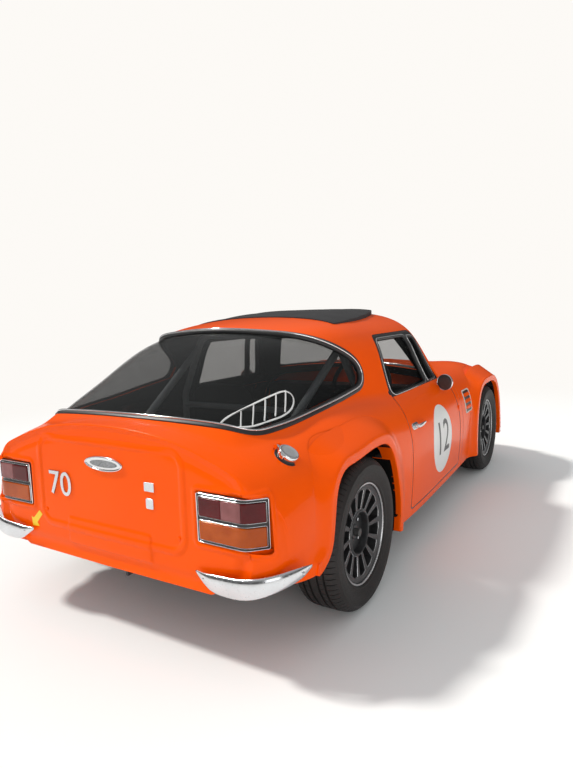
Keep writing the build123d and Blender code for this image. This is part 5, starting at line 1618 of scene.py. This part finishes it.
mirrorUser = {"centre": (213, -735, 780), "foot": (205, -668, 700),
              "bowl": [(0, -19), (20, -17.5), (35, -13), (44, -6), (48.5, 2), (50, 11), (49.5, 18), (47.8, 20),
                       (46.6, 19), (46.2, 16.5), (0, 16.5)],
              "glass": [(0, 18), (30, 17.8), (45, 17.3), (46, 16.6), (46, 15), (0, 15)]}


def tubeFaces(rows, columns):
    # sides and two end caps of a closed tube whose points run ring by ring
    last = (rows - 1) * columns
    return gridFaces(rows, columns, closed=True).tolist() + [
        list(range(columns)), list(range(last, last + columns))[::-1]]


def tube(points, radii, steps=20):
    # round section carried along a path, ends closed
    points = np.asarray(points, float)
    t = unit(np.gradient(points, axis=0))
    side = unit(np.cross(t, (0.2, 0.1, 0.97)))
    up = np.cross(t, side)
    a = turnStops(steps)[:, None, None]
    r = np.broadcast_to(np.asarray(radii, float), len(points))[:, None]
    grid = (points + r * (side * np.cos(a) + up * np.sin(a))).transpose(1, 0, 2)
    return grid.reshape(-1, 3), tubeFaces(len(points), steps)


def bend(points, count=24):
    # smooth path through a few points
    points = np.asarray(points, float)
    run = runOf(points)
    return cubic(run, points, np.linspace(0, run[-1], count))


mirrorDark = finish("mirrorDark", (0.03, 0.035, 0.036), (0.06, 0.065, 0.066), (0.12, 0.2), 0, 0, 20.0, 200.0)
for side, word in ((1, "right"), (-1, "left")):
    flip = np.array((1, side, 1))
    centre, foot = np.array(mirrorUser["centre"]) * flip, np.array(mirrorUser["foot"]) * flip
    axis = np.array((-1, -0.12 * -side, -0.02))
    bowl = turned("mirrorBowl_" + word, mirrorUser["bowl"], centre, axis, chrome, "door_" + word, 48)
    turned("mirrorGlass_" + word, mirrorUser["glass"], centre, axis, mirrorDark, "door_" + word, 48)
    path = bend([foot, foot + (0, -26 * side, 18), foot + (2, -44 * side, 42), centre + (6, 6 * side, -30)])
    verts, faces = tube(path, np.interp(np.linspace(0, 1, len(path)), [0, 0.15, 1], [8, 6, 5]))
    solid("mirrorStem_" + word, verts, faces, chrome, "door_" + word)
    turned("mirrorFoot_" + word, [(0, 6), (9, 6), (15, 4), (18.5, 0.5), (19, -3), (0, -3)],
           foot + (0, -2 * side, 0), (0, -side, 0.55), chrome, "door_" + word, 32)
    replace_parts(bowl, "mirror_" + word)

handleUser = {"plate": ((-518, -432), (628, 660)),
              "lever": [(-474, 644, 22), (-440, 645, 26), (-395, 645, 24), (-350, 644, 18), (-338, 643.5, 15)]}


def lever(user):
    # flattened bar standing off the door: half height and half thickness taper to its tip
    pts = bend([sidePlace(x, z, o) for x, z, o in user["lever"]], 30)
    s = np.linspace(0, 1, len(pts))
    tall = np.interp(s, [0, 0.1, 0.5, 0.95, 1], [9, 10.5, 9.5, 6, 3.5])
    thin = np.interp(s, [0, 0.1, 0.9, 1], [6, 6, 4.2, 2])
    a = turnStops(20)
    y, z = thin[:, None] * np.cos(a), tall[:, None] * np.sin(a)
    grid = pts[:, None] + np.stack([0 * y, y, z], axis=-1)
    return grid.reshape(-1, 3), tubeFaces(len(pts), len(a))


verts, faces = pad(sidePlace, *handleUser["plate"], -2, 5, edge=3, corner=15, fine=(20, 10))
for obj, word in zip(pairOf("handlePlate", verts, faces, chrome, ("door_right", "door_left")),
                     ("right", "left")):
    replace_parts(obj, "handle_" + word)
pairOf("handleLever", *lever(handleUser), chrome, ("door_right", "door_left"))
for name, x, r, high in (("handleNeck", -474, 9, 22), ("handleLock", -452, 7.5, 8)):
    verts, faces = lathe([(0, high), (r - 1.5, high), (r, high - 1.5), (r, -2), (0, -2)], sidePlace(x, 644, 0),
                         (0, -1, 0.1), 24)
    pairOf(name, verts, faces, chrome, ("door_right", "door_left"))
print("mirrors and handles made")


# dark strips in the shut lines, under the skin's edge: painted shade in the gaps

gapShade = [(-11, -3.4), (11, -3.4), (11, -0.8), (-11, -0.8)]
doorMiddle = -81


def roundDoor(middle, pts):
    # test: a tall loop about the door's middle
    return abs(middle[0] - doorMiddle) < 120 and np.ptp(pts[:, 2]) > 700


doorRims = openingLoops(bodyP, bodyT, roundDoor)
for k, (pts, nrm) in enumerate(doorRims[:2]):
    carried("doorSeam%d" % k, pts, nrm, gapShade, blackFilm, "body")
# the bonnet's shut line gets the same strip of painted shade
ring = outerSkin(bodyUser, np.array([panelUser["bonnetX"] - 1.0, panelUser["bonnetX"] + 1.0]), half)
away = np.cross(ring[1] - ring[0], np.gradient(ring[0], axis=0))
away *= np.sign((away * (ring[0] - (0, 0, 500))).sum(axis=1, keepdims=True))
pts, nrm = evenLoop(ring[0], unit(away), 12, closed=False)
carried("bonnetSeam", pts, nrm, gapShade, blackFilm, "body", closed=False, outward=(1, 0, 0))

# bumpers, rear and front: crowned bars with a swept outline, rolled at their edges

bumperUser = {
    "stations": [(-1820, -446, 371, 5), (-1826, -478, 360, 17), (-1829, -520, 350, 31), (-1830, -570, 348, 36),
                 (-1829, -625, 350, 37), (-1821, -682, 359, 36), (-1795, -735, 373, 32),
                 (-1742, -776, 384, 26),
                 (-1690, -795, 388, 18), (-1640, -801, 390, 5)],
    "front": [(1818, -310, 352, 7), (1820, -372, 346, 24), (1803, -450, 340, 36), (1757, -540, 338, 40),
              (1687, -632, 342, 30), (1607, -706, 350, 7)],
    "thick": 13,
}


def bumperBar(stations, thick, count=70, steps=28):
    # closed section: a station's half height up and down, outer face bulging by thick, back face by 4 mm
    s = np.array(stations, float)
    run = runOf(s[:, :3])
    line = cubic(run, s, np.linspace(0, run[-1], count))
    line[:, 3] = np.maximum(line[:, 3], 3)
    t = np.gradient(line[:, :3], axis=0)
    out = np.cross(t, (0, 0, 1.0))
    out = unit(np.where((out * (line[:, :3] * (0.3, 1, 0))).sum(axis=1)[:, None] < 0, -out, out))
    a = turnStops(steps)
    across, over = np.cos(a), np.sin(a)
    lift = np.where(over > 0, np.abs(over) ** 0.85 * thick, over * 4)
    shrink = np.clip(line[:, 3:] / 30, 0.25, 1)
    grid = line[:, None, :3] + out[:, None] * (lift[None, :, None] * shrink[:, None]) + \
        np.array((0, 0, 1.0)) * (across[None, :, None] * line[:, 3][:, None, None])
    return grid.reshape(-1, 3), tubeFaces(count, steps)


for name, key, rider, node in (("rearBumper", "stations", "body", "rear_bumpers"),
                               ("frontBumper", "front", "bonnet", "front_bumpers")):
    verts, faces = bumperBar(bumperUser[key], bumperUser["thick"])
    for obj in pairOf(name, verts, faces, dullChrome, (rider, rider)):
        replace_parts(obj, node)
print("seams and bumpers made")

# side vents: pale frame and orange louvres over a black back, the back painted shade for the vent's opening

ventUser = {"x": (566, 716), "z": (530, 672), "round": 12, "louvres": 3}


(x0, x1), (z0, z1) = ventUser["x"], ventUser["z"]
pts, nrm = faceLoop(sidePlace, (x0, x1), (z0, z1), ventUser["round"], 5, 0.5)
verts, faces = carry(pts, nrm, halfRound(-5, 5, -3, 4))
pairOf("ventFrame", verts, faces, paleTrim, ("bonnet", "bonnet"))
# black pad under the louvres: painted shade where the vent is open
verts, faces = pad(sidePlace, (x0 + 4, x1 - 4), (z0 + 4, z1 - 4), -3, 1.2, edge=1, corner=10, fine=(16, 16))
pairOf("ventDark", verts, faces, blackFilm, ("bonnet", "bonnet"))
pitch = (z1 - z0) / (ventUser["louvres"] + 0.5)
for k in range(ventUser["louvres"]):
    low = z0 + pitch * (k + 0.55)

    def blade(u, v, out, low=low):
        # each louvre leans out towards its lower edge
        return sidePlace(u, low + v, out + (pitch * 0.5 - v) * 0.16)
    verts, faces = pad(blade, (x0 + 12, x1 - 12), (0, pitch * 0.5), -1, 4, edge=1.5, corner=3, fine=(14, 5))
    pairOf("ventLouvre%d" % k, verts, faces, orangePaint, ("bonnet", "bonnet"))
print("side vents made")

# plain striped sticker in the rear glass: a white outline with slanting bars inside

stickerUser = {"outline": [(-1646, 52.2), (-1600, 49.6), (-1420, 49.9), (-1310, 50.2), (-1285, 53.4),
                           (-1330, 57.2),
                           (-1400, 58.4), (-1560, 57.6)],
               "bars": [-1600, -1545, -1490, -1435, -1380], "barSpan": (70, -7.0), "barTop": 57.3,
               "wide": 3.6, "under": -11.5}


def skinPlace(x, angle, out):
    # right side of the skin at a place along and an angle from the crest about the section's middle
    x, angle, out = np.broadcast_arrays(np.asarray(x, float), np.radians(angle), out)
    right = skinGrid[0, :, 1] < 0

    def reach(section, here):
        across, high = (section[right, 1:] - (0, bodyUser["middleZ"])).T
        turn = np.abs(np.arctan2(across, high))
        order = np.argsort(turn)
        return np.interp(angle[here], turn[order], np.hypot(across, high)[order])
    r = alongGrid(skinGrid, x, reach) + out
    return np.stack([x, -r * np.sin(angle), bodyUser["middleZ"] + r * np.cos(angle)], axis=-1)


def filmLine(name, line, closed):
    low = skinPlace(line[:, 0], line[:, 1], stickerUser["under"])
    up = skinPlace(line[:, 0], line[:, 1], stickerUser["under"] + 1) - low
    pts, nrm = evenLoop(low, up, 8, closed)
    w = stickerUser["wide"]
    carried(name, pts, nrm, [(-w, -0.6), (w, -0.6), (w, 0.5), (-w, 0.5)], whiteFilm, "body", closed, (1, 0, 0))


filmLine("stickerOutline", rounded(stickerUser["outline"], [20, 40, 30, 30, 25, 30, 30, 40]), True)
for k, x in enumerate(stickerUser["bars"]):
    t = np.linspace(0, 1, 12)[:, None]
    filmLine("stickerBar%d" % k, (x, stickerUser["barTop"]) + t * stickerUser["barSpan"], False)
print("sticker made")

# cabin: padded seats and steering wheel

seatUser = {"middle": 368, "half": 199,
            "parts": {"seatCushion_": ((-85, 322), (-470, 272), 110),
                      "seatBack_": ((-452, 300), (-600, 830), 100)}}
handWheelUser = {"centre": (-140, -330, 792), "radius": 178, "grip": 13, "lean": 20.7,
                 "spokes": (90, 210, 330)}


def cushion(a, b, half, thick, crown, channels):
    # closed crowned form between two points in side view: superellipse section, sides pulled in, sewn channels
    a, b = np.array(a, float), np.array(b, float)
    d = unit(b - a)
    n = np.array((-d[1], d[0]))
    u = turnStops(72)[:, None]
    v = np.linspace(-math.pi / 2, math.pi / 2, 41)[None, :]
    cu, su = np.cos(u), np.sin(u)
    s = np.sign(cu) * np.abs(cu) ** 0.35 * np.abs(np.cos(v)) ** 0.3
    y = np.sign(np.sin(v)) * np.abs(np.sin(v)) ** 0.45 + 0 * s
    y = y * (1 - 0.05 * np.abs(s) ** 6)
    h = np.sign(su) * np.abs(su) ** 0.5 * np.abs(np.cos(v)) ** 0.35
    h = h * (1 + crown * (1 - s ** 2) * (1 - y ** 2)) + 0.5 * np.abs(y) ** 4 * (h > 0.5)
    h = h - 0.07 * np.exp(-(((y * 3.5) % 1 - 0.5) / 0.07) ** 2) * (h > 0.6) * (np.abs(y) < channels)
    length = np.linalg.norm(b - a) / 2
    mid = (a + b) / 2
    x = mid[0] + d[0] * s * length + n[0] * h * thick / 2
    z = mid[1] + d[1] * s * length + n[1] * h * thick / 2
    grid = np.stack([x, y * half, z], axis=-1).transpose(1, 0, 2)
    return grid.reshape(-1, 3), tubeFaces(*grid.shape[:2])


for side, word in ((-1, "right"), (1, "left")):
    for name, (a, b, thick) in seatUser["parts"].items():
        verts, faces = cushion(a, b, seatUser["half"], thick, 0.16, 0.75)
        verts = verts + (0, side * seatUser["middle"], 0)
        obj = solid(name + word, verts, faces, vinyl, "body", merge=2e-4)
        if name == "seatCushion_":
            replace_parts(obj, "seat_" + word)
print("seats made")

# steering wheel: dark rim, three bright waisted spokes, dark hub

lean = math.radians(handWheelUser["lean"])
wheelFront = np.array((-math.cos(lean), 0, math.sin(lean)))
wheelUp = np.array((math.sin(lean), 0, math.cos(lean)))
wheelMiddle = np.array(handWheelUser["centre"], float)
wheelRadius, grip = handWheelUser["radius"], handWheelUser["grip"]


def wheelRay(turn):
    # direction in the wheel's plane, from the left at 0
    turn = np.asarray(turn, float)[..., None]
    return np.cos(turn) * (0, 1, 0) + np.sin(turn) * wheelUp


circle = wheelMiddle + wheelRadius * wheelRay(turnStops(90))
a = turnStops(18)
rimSection = np.column_stack([grip * np.cos(a), grip * 0.92 * np.sin(a)])
handRim = carried("handWheelRim", circle, np.tile(wheelFront, (90, 1)), rimSection, vinyl, "steering")
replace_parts(handRim, "steering_wheel")
for k, turn in enumerate(handWheelUser["spokes"]):
    ray = wheelRay(math.radians(turn))
    beside = np.cross(wheelFront, ray)

    def spoke(u, v, out, ray=ray, beside=beside):
        # waisted bar, dished towards the hub
        u, v, out = np.broadcast_arrays(np.asarray(u, float), v, out)
        w = 1 - 0.28 * np.sin(math.pi * np.clip((u - 30) / (wheelRadius - 40), 0, 1))
        out = out - 26 * (1 - u / wheelRadius)
        return wheelMiddle + u[..., None] * ray + (v * w)[..., None] * beside + out[..., None] * wheelFront
    verts, faces = pad(spoke, (24, wheelRadius - 6), (-17, 17), -1.5, 1.5, edge=1, corner=3, fine=(24, 8))
    solid("handWheelSpoke%d" % k, verts, faces, dullChrome, "steering")
turned("handWheelHub", [(0, 14), (20, 13), (32, 9), (38, 2), (40, -6), (40, -14), (30, -20), (0, -20)],
       wheelMiddle - wheelFront * 24, wheelFront, vinyl, "steering", 40)
print("steering wheel made")


# nose: headlamps with domed glass, mouth with bright bars

def turnedRing(name, profile, centre, material, rider, steps=64):
    # closed profile of radius r and depth d about a line along x: y = r cos t, z = r sin t
    r, depth = np.array(profile + profile[:1], float).T
    t = turnStops(steps)
    grid = np.stack([depth[:, None] + 0 * t, np.outer(r, np.cos(t)), np.outer(r, np.sin(t))], axis=-1)
    verts = grid.reshape(-1, 3) + centre
    return solid(name, verts, gridFaces(len(r), steps, True), material, rider, merge=mergeGap)


y0, z0, _ = noseUser["lamp"]
for side, word in ((1, "left"), (-1, "right")):
    at = (noseUser["lampX"], side * y0, z0)
    bowl = turned("lampBowl_" + word, [(0, -42), (28, -40), (52, -32), (70, -19), (80, -4), (82, 2), (86, 3),
                                       (88, 1),
                                       (88, -50), (0, -50)], at, (1, 0, 0), chrome, "bonnet", 64)
    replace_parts(bowl, "headlamps")
    turned("lampGlass_" + word, [(0, 19), (24, 17.6), (46, 13.2), (64, 6.6), (76, 0), (81, -3), (81, -7),
                                 (0, -7)], at,
           (1, 0, 0), headGlass, "bonnet", 64)
    turnedRing("lampTrim_" + word, [(83, -6), (83, 2), (85, 5.5), (89, 6.5), (93, 5), (95, 1), (95, -30),
                                    (93, -30),
                                    (93, -8)], at, chrome, "bonnet")
    turned("lampBulb_" + word, [(0, 4), (7, 3), (10, 0), (10, -38), (0, -38)], at, (1, 0, 0), dullChrome,
           "bonnet", 24)
wide, low, high = noseUser["mouth"]
pitch = (high - low) / (noseUser["bars"] + 1)
barUser = {"x": 1786, "bow": 7, "radius": 3.4, "past": 4}
for k in range(noseUser["bars"]):
    y = np.linspace(-wide - barUser["past"], wide + barUser["past"], 60)
    path = np.column_stack([barUser["x"] - barUser["bow"] * (y / wide) ** 2, y,
                            np.full(60, low + pitch * (k + 1))])
    solid("mouthBar%d" % k, *tube(path, barUser["radius"], 14), chrome, "bonnet")
print("nose made")
